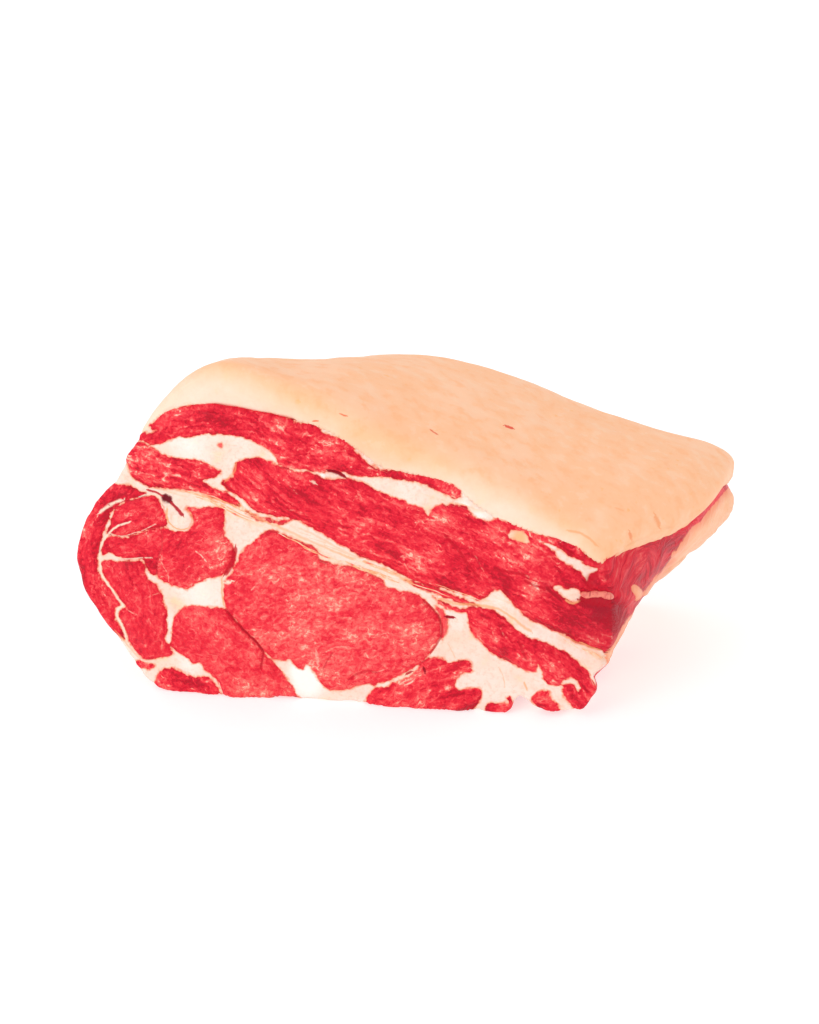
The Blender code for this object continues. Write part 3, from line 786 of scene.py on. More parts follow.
# the darker zone here is painted shade in the hollow at the right rim, the paler one the lump's own pink
FLANK_TONES_AND_SHADE = [(621, 597, 7, 0.3), (620, 624, 16, -0.35)]  # photo pixels, radius in pixels, change
RED_RIM = [  # the bright rim between cap and flap
    (681, 541), (690, 526), (700, 515), (712, 501), (727, 487)]

RIM_WIDTH_MM = 3.0

own_pixels = photo_pixels(points)
on_right_flank = (normals[:, 0] > 0.25) & (points[:, 1] > front_y + 0.5 * MM) & (points[:, 0] > 50 * MM)
fat_outlines = (FLAP, FLANK_FAT, FLANK_SPOT)
fat_on_flank = np.max([outline_field(own_pixels, corners) for corners in fat_outlines], axis=0)
flap = np.where(on_right_flank, fat_on_flank, -FAR_PIXELS * PIXEL_MM)
# deep is painted shade: how far each place takes the shade colour, most in the hollows and under the vessel
deep = np.zeros(len(points))
for *zone, strength in SHADED:
    deep = np.maximum(deep, strength * np.exp(-(radii_away(own_pixels, *zone) ** 2)))
behind_cut = np.clip((points[:, 1] - front_y) / (6 * MM), 0, 1)
flank = np.clip(1 - np.abs(normals[:, 1]) / 0.7, 0, 1) * behind_cut
# The flank faces away from the lamp, so its meat is painted a little darker and flatter: painted shade.
paleness = paleness - 0.06 * flank
contrast = contrast * (1 - 0.45 * flank)
rim_near = line_fields(own_pixels, [(RIM_WIDTH_MM, 1.0, RED_RIM)])[0]
paleness = paleness + 0.25 * flank * np.exp(-(rim_near**2)) + soft_zones(own_pixels, FLANK_TONES_AND_SHADE)
print("points under the flap of fat:", int((flap > 0).sum()))

# %% [markdown]
# ## Relief
#
# Cut muscle swells a little out of the cut, because the sheet round it holds it tight, and the clefts
# between muscles are sunk. This is relief in the mesh, so it catches the light and casts shade from
# any side. The fibres are finer than the mesh, and the material's bump makes them.

# %% Raise the muscles and sink the clefts
MUSCLE_RISE, RISE_OVER_MM = 1.5 * MM, 2.5
CLEFT_DEPTH = 1.4 * MM
LAP_OVER = 0.8 * MM  # the lean reaches this far into the cap above it, so that no gap shows between them
BUNDLE_HEIGHT, BUNDLE_LENGTH_MM, BUNDLE_WIDTH_MM = 0.7 * MM, 9, 2.6
LUMP_HEIGHT, LUMP_LENGTH = 0.7 * MM, 9 * MM
FLAP_HEIGHT, FLAP_SLOPE_MM = 1.2 * MM, 3
BASE_HEIGHT = 0.6 * MM  # what lies lower stays where it is
BEADS = [  # round lumps that stand out of the surface: photo pixels, radius in pixels, rise in mm
    (182, 519, 11, 2.4), (623, 597, 9, 2.0), (634, 592, 7, 1.2), (322, 475, 4, 0.8), (528, 538, 6, 0.6)]
SIDE_MOVES = [  # torn bits at the base and the right rim: photo pixels, radius in pixels, mm to the right
    (605, 663, 5, 1.8), (599, 676, 5, -2.8), (594, 690, 7, 1.6), (504, 704, 7, 2.4), (543, 704, 9, -3.6)]

bundle_scale = (BUNDLE_LENGTH_MM, BUNDLE_WIDTH_MM, BUNDLE_LENGTH_MM)
bundles = noise_at(grain / bundle_scale, 1)
lumps = noise_at(points, LUMP_LENGTH)
rise = MUSCLE_RISE * (1 - np.exp(-np.clip(edge, 0, None) / RISE_OVER_MM))
rise += BUNDLE_HEIGHT * (0.3 + stringy) * bundles * (edge > 0) + LUMP_HEIGHT * lumps
rise -= CLEFT_DEPTH * cleft_strength**2 * np.exp(-((cleft_near / 1.6) ** 2))
shows = (normals @ TOWARDS_CAMERA) > 0.1
for *zone, height in BEADS:
    reach = radii_away(own_pixels, *zone)
    rise += height * MM * np.sqrt(np.clip(1 - reach**2, 0, None)) * shows
rise += FLAP_HEIGHT * np.clip(flap / FLAP_SLOPE_MM, 0, 1)

raised = points + normals * rise[:, None]
for *zone, aside in SIDE_MOVES:
    raised[:, 0] += aside * MM * np.exp(-(radii_away(own_pixels, *zone) ** 2))
raised[:, 2] += near_cap * LAP_OVER
raised[:, 2] = np.clip(np.where(points[:, 2] < BASE_HEIGHT, points[:, 2], raised[:, 2]), 0, None)
lean.data.vertices.foreach_set("co", raised.ravel())
lean.data.update()

for name, values in {
    "edge": edge, "paleness": paleness, "contrast": contrast, "stringy": stringy,
    "flap": flap, "deep": deep, "flank": flank, "fibrous": fibrous, "whiter": whiter,
    "sheet_near": sheet_near, "sheet_side": sheet_side, "sheet_strength": sheet_strength,
    "cleft_near": cleft_near, "cleft_side": cleft_side, "cleft_strength": cleft_strength,
    "golden_near": golden_near, "golden_side": golden_side, "golden_strength": golden_strength,
}.items():
    store(lean.data, name, values)
store(lean.data, "grain", grain, "FLOAT_VECTOR")
print("relief from", round(rise.min() / MM, 1), "to", round(rise.max() / MM, 1), "mm")

# %% [markdown]
# ## The cap of fat
#
# The cap is firm fat with a smooth, dry outside that has darkened to peach. Where the knife went
# through it, and for a short way behind the rim, it is cream. How far the cream reaches is read from
# the photo on the side that it shows, and is a plain distance from the cut on the others. The cap's
# underside is let a little into the lean, so the two pieces meet without the hairline gap that the
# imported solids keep.

# %% The cap, refined and let into the lean
LET_IN = 0.7 * MM
CUT_INSET = 0.1 * MM
CAP_RIM_ANGLE = math.radians(80)  # only the sharp rim along the seam is held, and the outer rim rounds over
CREAM_SIDE = [  # the cut side of the line where the cream fades into peach, in photo pixels
    (120, 440), (140, 405), (165, 385), (190, 372), (212, 370), (236, 374), (262, 388), (282, 400),
    (320, 416), (345, 436), (372, 452), (400, 462), (440, 468), (480, 478), (520, 498), (552, 517),
    (575, 533), (592, 550), (598, 562), (600, 640), (300, 620), (100, 560)]
CREAM_BEHIND = [  # across, how far behind a cut, in mm
    (-150, 70), (-112, 60), (-96, 22), (-75, 8), (170, 8)]
CREAM_FADE_MM = 6.0
FLECKS = [  # half width in mm, strength, path in photo pixels
    (0.5, 0.58, [(341, 414), (346, 416)]), (0.5, 0.6, [(314, 421), (317, 421)]),
    (0.45, 0.6, [(431, 430), (437, 434)]), (0.7, 0.8, [(506, 426), (512, 428)]),
    (1.3, 0.45, [(656, 517), (659, 525)]), (1.1, 0.5, [(630, 534), (631, 537)]),
    (0.8, 0.4, [(569, 531), (580, 533), (591, 540), (596, 545)]), (0.6, 0.3, [(617, 508), (622, 510)])]

shape = refined_shape("fat_cap", CAP_RIM_ANGLE)
for facing in (0.5, 0.35):
    split_faces(shape, lambda face: face.normal.y < -facing or face.normal.z > 0.2)
relax(shape, shape.verts, 2)
cap = finished_piece(shape, "cap_fat")
cap_places, cap_normals = vertex_array(cap.data, "co"), vertex_array(cap.data, "normal")
cap_depth = depth_share(cap_places)
cap_places = seam_lifted(cap_places)
cap_pixels = photo_pixels(cap_places)
thickness = back_cut(cap_places[:, 0]) - front_y
from_cut = np.minimum(cap_depth, 1 - cap_depth) * thickness / MM
shown = np.clip((cap_normals @ TOWARDS_CAMERA - 0.05) / 0.15, 0, 1)
cream_shown = outline_field(cap_pixels, CREAM_SIDE) / CREAM_FADE_MM
cream_behind = (np.interp(cap_places[:, 0] / MM, *zip(*CREAM_BEHIND)) - from_cut) / CREAM_FADE_MM
at_back = np.where(cap_depth > 0.5, np.clip((np.abs(cap_normals[:, 1]) - 0.75) * 8, -2, 2), -2)
cream = np.maximum(cream_shown * shown + cream_behind * (1 - shown), at_back)
print("cap:", len(cap.data.vertices), "vertices")

# %% How far the cap lies from the meat, so that its rim can take the colour of the seam
CUT_RIM_MM = 6

meat_points = raised[(edge > 0) & (normals[:, 2] < 0.6)]  # not those hidden under the cap
meat_tree = KDTree(len(meat_points))
for index, point in enumerate(meat_points):
    meat_tree.insert(Vector(point), index)
meat_tree.balance()
near_cut = (from_cut < CUT_RIM_MM) | (cap_normals[:, 2] < 0)
meat_gap = np.array([
    meat_tree.find(Vector(p))[2] / MM if near else FAR_PIXELS for p, near in zip(cap_places, near_cut)])
print("points of the cap at the meat:", int((meat_gap < 1).sum()))

# %% The cap's relief
RIPPLE, RIPPLE_LENGTH = 0.5, 16 * MM
DIMPLE, DIMPLE_LENGTH = 0.12, 5 * MM

ripple = noise_at(cap_places, RIPPLE_LENGTH)
dimples = noise_at(cap_places, DIMPLE_LENGTH)
underside = cap_normals[:, 2] < -0.3
cap_rise = np.where(underside, LET_IN, (RIPPLE * ripple + DIMPLE * dimples) * MM)
moved = cap_places + cap_normals * cap_rise[:, None]
moved[:, 1] += np.where(from_cut < 1, CUT_INSET, 0) * np.sign(0.5 - cap_depth)
cap.data.vertices.foreach_set("co", moved.ravel())
cap.data.update()

fleck_near, fleck_side, fleck_strength = line_fields(cap_pixels, FLECKS)
for name, values in {
    "cream": cream, "meat_gap": meat_gap, "fleck_near": fleck_near, "fleck_side": fleck_side,
    "fleck_strength": fleck_strength * (shown > 0),
}.items():
    store(cap.data, name, values)
print("relief of the cap from", round(cap_rise.min() / MM, 1), "to", round(cap_rise.max() / MM, 1), "mm")

# %% [markdown]
# ## Building materials in code
#
# Short helpers keep the node trees readable. One adds a node and takes each input as a number, a
# colour or another node's output. Another turns a range of values into a soft step, which is what
# most masks are. A last one gives a material its colour, its gloss and its finest relief in one go.


# %% Helpers that place nodes
def linear(colour):
    """A colour given in 0 to 255, as the linear values that a material works with."""
    share = np.array(colour) / 255
    return np.where(share <= 0.04045, share / 12.92, ((share + 0.055) / 1.055) ** 2.4)


def opaque(colour):
    return (*linear(colour), 1.0)


def add_node(tree, kind, inputs=(), **settings):
    """Adds a node. An input is a number, a colour or the output of another node."""
    new = tree.nodes.new(kind)
    for name, value in settings.items():
        setattr(new, name, value)
    for key, value in dict(inputs).items():
        if isinstance(value, bpy.types.NodeSocket):
            tree.links.new(value, new.inputs[key])
        else:
            new.inputs[key].default_value = value
    return new


def place(tree, kind, inputs=(), **settings):
    return add_node(tree, "ShaderNode" + kind, inputs, **settings)


def maths(tree, operation, *values):
    return place(tree, "Math", dict(enumerate(values)), operation=operation).outputs[0]


def vectors(tree, operation, inputs):
    return place(tree, "VectorMath", inputs, operation=operation).outputs[0]


def times(tree, first, second):
    return maths(tree, "MULTIPLY", first, second)


def plus(tree, first, second):
    return maths(tree, "ADD", first, second)


def centred(tree, value):
    """A value from 0 to 1, moved to swing about zero."""
    return maths(tree, "SUBTRACT", value, 0.5)


def step(tree, value, low, high):
    """0 below low and 1 above high, smooth between; the other way round when high is the smaller."""
    inputs = {"Value": value, "From Min": low, "From Max": high}
    return place(tree, "MapRange", inputs, interpolation_type="SMOOTHSTEP").outputs["Result"]


def blend(tree, share, first, second):
    """Two colours mixed. Each is an output or a colour in 0 to 255."""
    first, second = (opaque(colour) if isinstance(colour, tuple) else colour for colour in (first, second))
    return place(tree, "Mix", {0: share, 6: first, 7: second}, data_type="RGBA").outputs[2]


def ranged(tree, value, low, high):
    """A value from 0 to 1, brought between two others."""
    return place(tree, "MapRange", {"Value": value, "To Min": low, "To Max": high}).outputs[0]


def blend_values(tree, share, first, second):
    return place(tree, "Mix", {0: share, 2: first, 3: second}, data_type="FLOAT").outputs[0]


def grains(tree, vector, scale, detail=2.0, roughness=0.5, distortion=0.0):
    return place(tree, "TexNoise", {
        "Vector": vector, "Scale": scale, "Detail": detail, "Roughness": roughness,
        "Distortion": distortion}).outputs["Fac"]


def swing(tree, vector, scale, amount, detail=2.0, roughness=0.5):
    """Noise that swings about zero, for edges that wander."""
    return times(tree, centred(tree, grains(tree, vector, scale, detail, roughness)), amount)


def stretched(tree, vector, along, across, deep):
    return vectors(tree, "MULTIPLY", {0: vector, 1: (along, across, deep)})


def streaked(tree, vector, scales, detail=2.0, roughness=0.5, distortion=0.0):
    """Noise with a scale of its own in each direction."""
    return grains(tree, stretched(tree, vector, *scales), 1.0, detail, roughness, distortion)


def kept(tree, name, kind="Fac"):
    """The attribute that the mesh keeps under a name."""
    return place(tree, "Attribute", attribute_name=name).outputs[kind]


def line_mask(tree, side, near, wobble, outer=1.4, inner=0.2):
    """1 on a line that the mesh keeps as a signed side and a plain distance."""
    off_line = maths(tree, "ABSOLUTE", maths(tree, "ADD", side, wobble))
    return times(tree, step(tree, off_line, outer, inner), step(tree, near, 3.0, 1.8))


def new_group(name, inputs, outputs, kind="ShaderNodeTree"):
    """An empty node group with named sockets: the group, what its inputs give and what its outputs take."""
    group = bpy.data.node_groups.new(name, kind)
    for way, sockets in (("INPUT", inputs), ("OUTPUT", outputs)):
        for socket, holds in sockets.items():
            group.interface.new_socket(socket, in_out=way, socket_type="NodeSocket" + holds)
    return group, group.nodes.new("NodeGroupInput").outputs, group.nodes.new("NodeGroupOutput").inputs


def new_material(name, **plain):
    """A material whose plain socket values are given by name, with spaces written as underscores."""
    material = bpy.data.materials.new(name)
    material.use_nodes = True
    surface = material.node_tree.nodes["Principled BSDF"]
    for key, value in plain.items():
        surface.inputs[key.replace("_", " ")].default_value = value
    return material, material.node_tree, surface


def dress(tree, surface, colour, roughness, height, strength, distance):
    """Gives a material its colour and gloss, and bumps its surface by a height."""
    bump = place(tree, "Bump", {"Height": height, "Strength": strength, "Distance": distance})
    tree.links.new(colour, surface.inputs["Base Color"])
    tree.links.new(roughness, surface.inputs["Roughness"])
    tree.links.new(bump.outputs["Normal"], surface.inputs["Normal"])


def object_mm(tree):
    """The object's own coordinates in millimetres."""
    return stretched(tree, place(tree, "TexCoord").outputs["Object"], 1 / MM, 1 / MM, 1 / MM)


# %% [markdown]
# ## Fat
#
# The same fat shows in the seams, at the cut of the cap and in the loose scraps, so its look is one
# node group. Cream is its main colour. A slow noise tints it towards white and straw, finer noise
# towards pink, and small soft lobules, about two millimetres across, give it its grain.

# %% The fat group
CREAM, PALE, BLUSH, STRAW = (249, 216, 199), (247, 224, 211), (250, 190, 165), (253, 212, 174)

fat_group, given, out = new_group(
    "fat_look", {"Place": "Vector", "Blush": "Float"}, {"Colour": "Color", "Height": "Float"})
tree, spot = fat_group, given["Place"]
clouds = grains(tree, spot, 0.08, 3)
specks = grains(tree, spot, 0.45, 4, 0.65)
lobes = place(tree, "TexVoronoi", {"Vector": spot, "Scale": 0.45, "Smoothness": 0.6}, feature="SMOOTH_F1")
tone = blend(tree, step(tree, clouds, 0.35, 0.6), PALE, CREAM)
tone = blend(tree, step(tree, clouds, 0.58, 0.75), tone, STRAW)
blush = times(tree, step(tree, specks, 0.45, 0.72), given["Blush"])
tree.links.new(blend(tree, blush, tone, BLUSH), out["Colour"])
round_tops = times(tree, lobes.outputs["Distance"], -0.5)
tree.links.new(plus(tree, round_tops, times(tree, specks, 0.5)), out["Height"])
print("fat:", len(tree.nodes), "nodes")

# %% [markdown]
# ## Meat
#
# Raw muscle is a bundle of bundles, and thin pale sheets part them. The group works in the grain's
# own directions, in millimetres. A cell pattern makes the bundles: across the fibres they are round
# and net-like, along them they are long streaks, and one number turns the first into the second. What
# they and the noises add up to is one tone, from the darkest red to the pale fleck of marbling, and a
# colour ramp turns the tone into colour. In raw meat the red stays nearly full while green and blue
# rise, which a plain light and dark version of one red can't give.

# %% The muscle group
MEAT_TONES = [
    (0.0, (182, 0, 32)), (0.2, (212, 6, 42)), (0.4, (230, 31, 53)), (0.52, (237, 52, 65)),
    (0.64, (242, 77, 80)), (0.78, (246, 103, 98)), (0.9, (249, 142, 126)), (1.0, (252, 186, 164))]

muscle_group, given, out = new_group(
    "muscle_look",
    {"Grain": "Vector", "Stringy": "Float", "Paleness": "Float", "Contrast": "Float", "Inside": "Float"},
    {"Colour": "Color", "Height": "Float", "Gloss": "Float"})
tree, fibres, strings = muscle_group, given["Grain"], given["Stringy"]

ruffled = place(tree, "TexNoise", {"Vector": fibres, "Scale": 0.3, "Detail": 3.0, "Roughness": 0.6})
ruffle = vectors(tree, "SUBTRACT", {0: ruffled.outputs["Color"], 1: (0.5, 0.5, 0.5)})
ruffle = vectors(tree, "SCALE", {0: ruffle, "Scale": 5.0})
warped = vectors(tree, "ADD", {0: fibres, 1: ruffle})


def bundle_edges(vector, along, across):
    """How far a place lies inside its bundle of fibres, 0 on the sheet between two."""
    cells = {"Vector": stretched(tree, vector, along, across, along), "Scale": 1.0}
    return place(tree, "TexVoronoi", cells, feature="DISTANCE_TO_EDGE").outputs["Distance"]


net = bundle_edges(warped, 0.28, 0.42)
streaks = bundle_edges(warped, 0.1, 0.45)
inside = blend_values(tree, strings, net, streaks)
clumps = streaked(tree, fibres, (0.06, 0.12, 0.08), 3, 0.55, 0.3)
mosaic = streaked(tree, warped, (0.34, 0.52, 0.4), 3, 0.6)
threads = streaked(tree, warped, (0.12, 0.6, 0.3), 3, 0.62)
strokes = streaked(tree, fibres, (0.05, 0.32, 0.1), 2, 0.5, 0.3)
fine = blend_values(tree, strings, mosaic, threads)
zones = streaked(tree, fibres, (0.03, 0.05, 0.04), 2, 0.5, 0.4)
broken = grains(tree, fibres, 0.2, 2)


def pushed(tone, mask, amount):
    """The tone with a mask added to it, as strongly as the amount says."""
    return plus(tree, tone, times(tree, mask, amount))


# %% The muscle group's tone, its colour ramp and its relief
swinging = times(tree, centred(tree, fine), 1.75)
swinging = pushed(swinging, centred(tree, clumps), 0.9)
swinging = pushed(swinging, centred(tree, zones), 0.7)
swinging = pushed(swinging, times(tree, centred(tree, strokes), strings), 1.2)
pale_sheets = times(tree, step(tree, inside, 0.12, 0.0), step(tree, broken, 0.45, 0.65))
dark_gaps = times(tree, step(tree, inside, 0.1, 0.0), step(tree, broken, 0.45, 0.3))
swinging = pushed(pushed(swinging, pale_sheets, 0.3), dark_gaps, -0.3)
tone = pushed(given["Paleness"], swinging, given["Contrast"])
tone = pushed(tone, step(tree, given["Inside"], 2.6, 0.3), -0.08)
ramp = place(tree, "ValToRGB", {"Fac": tone})
stops = ramp.color_ramp.elements
for stop, (_, colour) in zip(stops, (MEAT_TONES[0], MEAT_TONES[-1])):
    stop.color = opaque(colour)
for position, colour in MEAT_TONES[1:-1]:
    stops.new(position).color = opaque(colour)
tree.links.new(ramp.outputs["Color"], out["Colour"])
domes = times(tree, step(tree, inside, 0.0, 0.3), 0.7)
tree.links.new(plus(tree, domes, fine), out["Height"])
tree.links.new(step(tree, clumps, 0.35, 0.65), out["Gloss"])
print("muscle:", len(tree.nodes), "nodes")

# %% The lean's material: meat, and the fat of the seams with its fibres
HALO, SHADE_RED = (250, 152, 118), (146, 10, 36)
SHEET_AND_GLINT_WHITE, SHEET_SALMON = (253, 222, 200), (252, 164, 142)
WHITE_FAT, WARM_FAT, GOLD = (254, 246, 240), (252, 184, 134), (248, 170, 116)
FIBRE_ORANGE, FIBRE_RED = (253, 196, 152), (246, 122, 104)
CLEFT_RED, CLEFT_DARK = (198, 0, 34), (112, 0, 24)
FLAP_EDGE, FLAP_PEACH = (246, 150, 112), (252, 188, 146)
meat, tree, surface = new_material(
    "cut_meat", Specular_IOR_Level=0.16, Subsurface_Weight=0.08, Subsurface_Radius=(1.0, 0.3, 0.2),
    Subsurface_Scale=0.0015, Coat_Weight=0.07, Coat_Roughness=0.2)
spot = object_mm(tree)
look = {
    "Grain": kept(tree, "grain", "Vector"), "Stringy": kept(tree, "stringy"),
    "Paleness": kept(tree, "paleness"), "Contrast": kept(tree, "contrast"), "Inside": kept(tree, "edge")}
muscle = place(tree, "Group", look, node_tree=muscle_group)
fat = place(tree, "Group", {"Place": spot, "Blush": 0.55}, node_tree=fat_group)
ragged = plus(tree, kept(tree, "edge"), swing(tree, spot, 0.3, 3.2, 2, 0.5))
is_meat = step(tree, ragged, -0.35, 0.3)
whiter = kept(tree, "whiter")
seam = blend(tree, step(tree, whiter, 0.0, 0.9), fat.outputs["Colour"], WHITE_FAT)
seam = blend(tree, step(tree, whiter, 0.0, -0.9), seam, WARM_FAT)
fibre_lines = streaked(tree, kept(tree, "grain", "Vector"), (0.04, 0.42, 0.2), 3, 0.55, 0.3)
for low, high, most, tint in ((0.46, 0.66, 0.55, FIBRE_ORANGE), (0.64, 0.76, 0.5, FIBRE_RED)):
    fibre_share = times(tree, step(tree, fibre_lines, low, high), kept(tree, "fibrous"))
    seam = blend(tree, times(tree, fibre_share, most), seam, tint)
colour = blend(tree, step(tree, ragged, -1.3, 0.2), seam, HALO)
colour = blend(tree, is_meat, colour, muscle.outputs["Colour"])

# %% The lean's material: the white sheets with their painted highlights, the golden lines and the painted shade
wander_off = swing(tree, spot, 0.35, 1.6, 2, 0.5)
# The white sheets, with the painted highlights, glints of the wet meat, listed among them.
sheet = line_mask(tree, kept(tree, "sheet_side"), kept(tree, "sheet_near"), wander_off)
sheet_strong = kept(tree, "sheet_strength")
unbroken = plus(tree, grains(tree, spot, 0.6, 2), times(tree, sheet_strong, 0.4))
sheet = times(tree, sheet, step(tree, unbroken, 0.6, 0.85))
sheet = times(tree, sheet, sheet_strong)
sheet_tone = blend(tree, step(tree, sheet_strong, 0.45, 0.85), SHEET_SALMON, SHEET_AND_GLINT_WHITE)
colour = blend(tree, times(tree, sheet, 0.95), colour, sheet_tone)
golden_wobble = swing(tree, spot, 0.25, 2.4, 3, 0.6)
golden = line_mask(tree, kept(tree, "golden_side"), kept(tree, "golden_near"), golden_wobble)
golden = times(tree, golden, kept(tree, "golden_strength"))
colour = blend(tree, golden, colour, GOLD)
# Painted shade: the hollows and the place under the vessel are darkened towards the shade red.
colour = blend(tree, times(tree, kept(tree, "deep"), 0.6), colour, SHADE_RED)

# %% The lean's material: the flap of fat, the clefts and the skin of the flank
flap_field = plus(tree, kept(tree, "flap"), swing(tree, spot, 0.25, 1.6, 3))
is_flap = step(tree, flap_field, -0.2, 0.35)
flap_fat = blend(tree, step(tree, flap_field, 0.0, 3.5), FLAP_EDGE, FLAP_PEACH)
not_flap = maths(tree, "SUBTRACT", 1.0, is_flap)
colour = blend(tree, is_flap, colour, flap_fat)

cleft = line_mask(tree, kept(tree, "cleft_side"), kept(tree, "cleft_near"), wander_off, 1.6, 0.7)
cleft_strong = kept(tree, "cleft_strength")
cleft = times(tree, times(tree, cleft, not_flap), step(tree, cleft_strong, 0.0, 0.9))
# The strongest clefts and holes turn near-black: painted shade in the hollow, over the crimson of the gap.
# The line under the vessel is its painted shadow.
cleft_tone = blend(tree, step(tree, cleft_strong, 0.7, 1.0), CLEFT_RED, CLEFT_DARK)
colour = blend(tree, cleft, colour, cleft_tone)
skin = step(tree, streaked(tree, spot, (0.05, 0.012, 0.05), 4, 0.6), 0.42, 0.62)
skin = times(tree, times(tree, kept(tree, "flank"), skin), not_flap)
skin = times(tree, skin, step(tree, kept(tree, "deep"), 0.3, 0.1))
colour = blend(tree, times(tree, skin, 0.12), colour, BLUSH)

height = blend_values(tree, is_meat, fat.outputs["Height"], muscle.outputs["Height"])
roughness = blend_values(tree, is_meat, 0.5, ranged(tree, muscle.outputs["Gloss"], 0.34, 0.5))
dress(tree, surface, colour, roughness, height, 0.6, 0.7 * MM)
lean.data.materials.clear()
lean.data.materials.append(meat)
print("cut meat:", len(tree.nodes), "nodes")

# %% The cap's material: the dry peach outside
PEACH, APRICOT, ROSE_PEACH, LIGHT_PEACH, AMBER, FLECK_RED = (
    (254, 194, 152), (253, 185, 138), (254, 200, 163), (254, 206, 172), (252, 178, 108), (234, 96, 72))
SEAM_MEAT, CUT_CREAM, FLECK_ORANGE = (234, 52, 62), (253, 220, 190), (250, 168, 116)
outer_fat, tree, surface = new_material(
    "outer_fat", Specular_IOR_Level=0.12, Subsurface_Weight=0.1, Subsurface_Radius=(1.0, 0.6, 0.4),
    Subsurface_Scale=0.002)
spot = object_mm(tree)
fat = place(tree, "Group", {"Place": spot, "Blush": 0.25}, node_tree=fat_group)
cut_fat = blend(tree, 0.45, fat.outputs["Colour"], CUT_CREAM)
patches = grains(tree, spot, 0.028, 3, 0.55)
mottle = grains(tree, spot, 0.11, 4, 0.6)
peach = blend(tree, step(tree, patches, 0.36, 0.56), ROSE_PEACH, PEACH)
peach = blend(tree, times(tree, step(tree, mottle, 0.5, 0.68), 0.7), peach, APRICOT)
peach = blend(tree, times(tree, step(tree, mottle, 0.46, 0.34), 0.5), peach, LIGHT_PEACH)
dots = times(tree, step(tree, grains(tree, spot, 0.19, 2), 0.66, 0.76), step(tree, patches, 0.45, 0.6))
peach = blend(tree, times(tree, dots, 0.6), peach, AMBER)

# %% The cap's material: the cream behind the cuts, the rim at the meat and the flecks
creamy = plus(tree, kept(tree, "cream"), swing(tree, spot, 0.07, 1.6, 4, 0.6))
colour = blend(tree, step(tree, creamy, -1.0, 2.2), peach, cut_fat)
at_meat = plus(tree, kept(tree, "meat_gap"), swing(tree, spot, 0.3, 1.6, 2, 0.5))
colour = blend(tree, times(tree, step(tree, at_meat, 1.2, 0.3), 0.6), colour, HALO)
colour = blend(tree, step(tree, at_meat, 0.6, 0.2), colour, SEAM_MEAT)
fleck = line_mask(tree, kept(tree, "fleck_side"), kept(tree, "fleck_near"), swing(tree, spot, 0.6, 1.2))
fleck_strong = kept(tree, "fleck_strength")
fleck = times(tree, fleck, fleck_strong)
fleck_tone = blend(tree, step(tree, fleck_strong, 0.4, 0.7), FLECK_ORANGE, FLECK_RED)
colour = blend(tree, step(tree, fleck, 0.0, 0.6), colour, fleck_tone)
pores = times(tree, grains(tree, spot, 0.7, 3, 0.6), 0.25)
dress(tree, surface, colour, ranged(tree, mottle, 0.45, 0.6), plus(tree, mottle, pores), 0.25, 0.8 * MM)
cap.data.materials.clear()
cap.data.materials.append(outer_fat)
print("outer fat:", len(tree.nodes), "nodes")

# %% [markdown]
# ## The cut vessel
#
# At the right corner of the cut, a short stub of a vessel lies across the hollow between two muscles.
# It is a soft tube, a little uneven, with its ends rounded off. A ring of points is carried along its
# path, and a slow noise changes the ring's size, which a plain cylinder couldn't do.

# %% Find places on the lean through the camera
lean_surface = surface_of(raised, lean.data)


def on_lean(pixel, above=0.0):
    """The place on the lean that a photo pixel shows, and a little above it."""
    hit, normal, _, _ = lean_surface.ray_cast(Vector(CAMERA_PLACE), pixel_ray(pixel))
    return hit + normal * above


# %% The vessel
VESSEL_PATH = [(580, 593), (587, 594), (594, 594), (601, 594), (607, 595), (612, 597)]
VESSEL_RADIUS, VESSEL_ABOVE = 1.8 * MM, 1.0 * MM
VESSEL_RINGS, VESSEL_SIDES = 22, 14

knots = np.array([on_lean(pixel, VESSEL_ABOVE) for pixel in VESSEL_PATH])
steps_along = np.linspace(0, len(knots) - 1, VESSEL_RINGS)
centres = np.stack([np.interp(steps_along, range(len(knots)), column) for column in knots.T], axis=1)
tube = bmesh.new()
rings = []
for number, centre in enumerate(centres):
    ahead = Vector(centres[min(number + 1, VESSEL_RINGS - 1)] - centres[max(number - 1, 0)]).normalized()
    turn = ahead.to_track_quat("Z", "Y")
    share = number / (VESSEL_RINGS - 1)
    rounding = math.sqrt(max(1 - abs(2 * share - 1) ** 8, 0.02))
    ring = []
    for side in range(VESSEL_SIDES):
        angle = 2 * math.pi * side / VESSEL_SIDES
        offset = turn @ Vector((math.cos(angle), math.sin(angle), 0))
        uneven = 1 + 0.3 * noise.noise((Vector(centre) + offset * MM) / (2.5 * MM))
        ring.append(tube.verts.new(Vector(centre) + offset * VESSEL_RADIUS * rounding * uneven))
    rings.append(ring)
for first, second in zip(rings, rings[1:]):
    for side in range(VESSEL_SIDES):
        after = (side + 1) % VESSEL_SIDES
        tube.faces.new((first[side], first[after], second[after], second[side]))
tube.faces.new(rings[0][::-1])
tube.faces.new(rings[-1])
bmesh.ops.recalc_face_normals(tube, faces=tube.faces)
vessel = finished_piece(tube, "vessel")
print("vessel:", round(float(np.linalg.norm(centres[-1] - centres[0])) / MM, 1), "mm long")

# %% The vessel's material: a pale wall with a blush, darker bands and a moist gloss
WALL, WALL_BLUSH, WALL_DARK = (238, 132, 112), (222, 98, 90), (186, 66, 66)
wall, tree, surface = new_material(
    "vessel_wall", Specular_IOR_Level=0.35, Coat_Weight=0.2, Coat_Roughness=0.15)
spot = object_mm(tree)
tone = blend(tree, step(tree, grains(tree, spot, 0.5, 3), 0.4, 0.65), WALL, WALL_BLUSH)
bands = streaked(tree, spot, (0.9, 0.15, 0.15), 2)
tone = blend(tree, step(tree, bands, 0.58, 0.7), tone, WALL_DARK)
dress(tree, surface, tone, ranged(tree, bands, 0.35, 0.5), bands, 0.4, 0.3 * MM)
vessel.data.materials.append(wall)

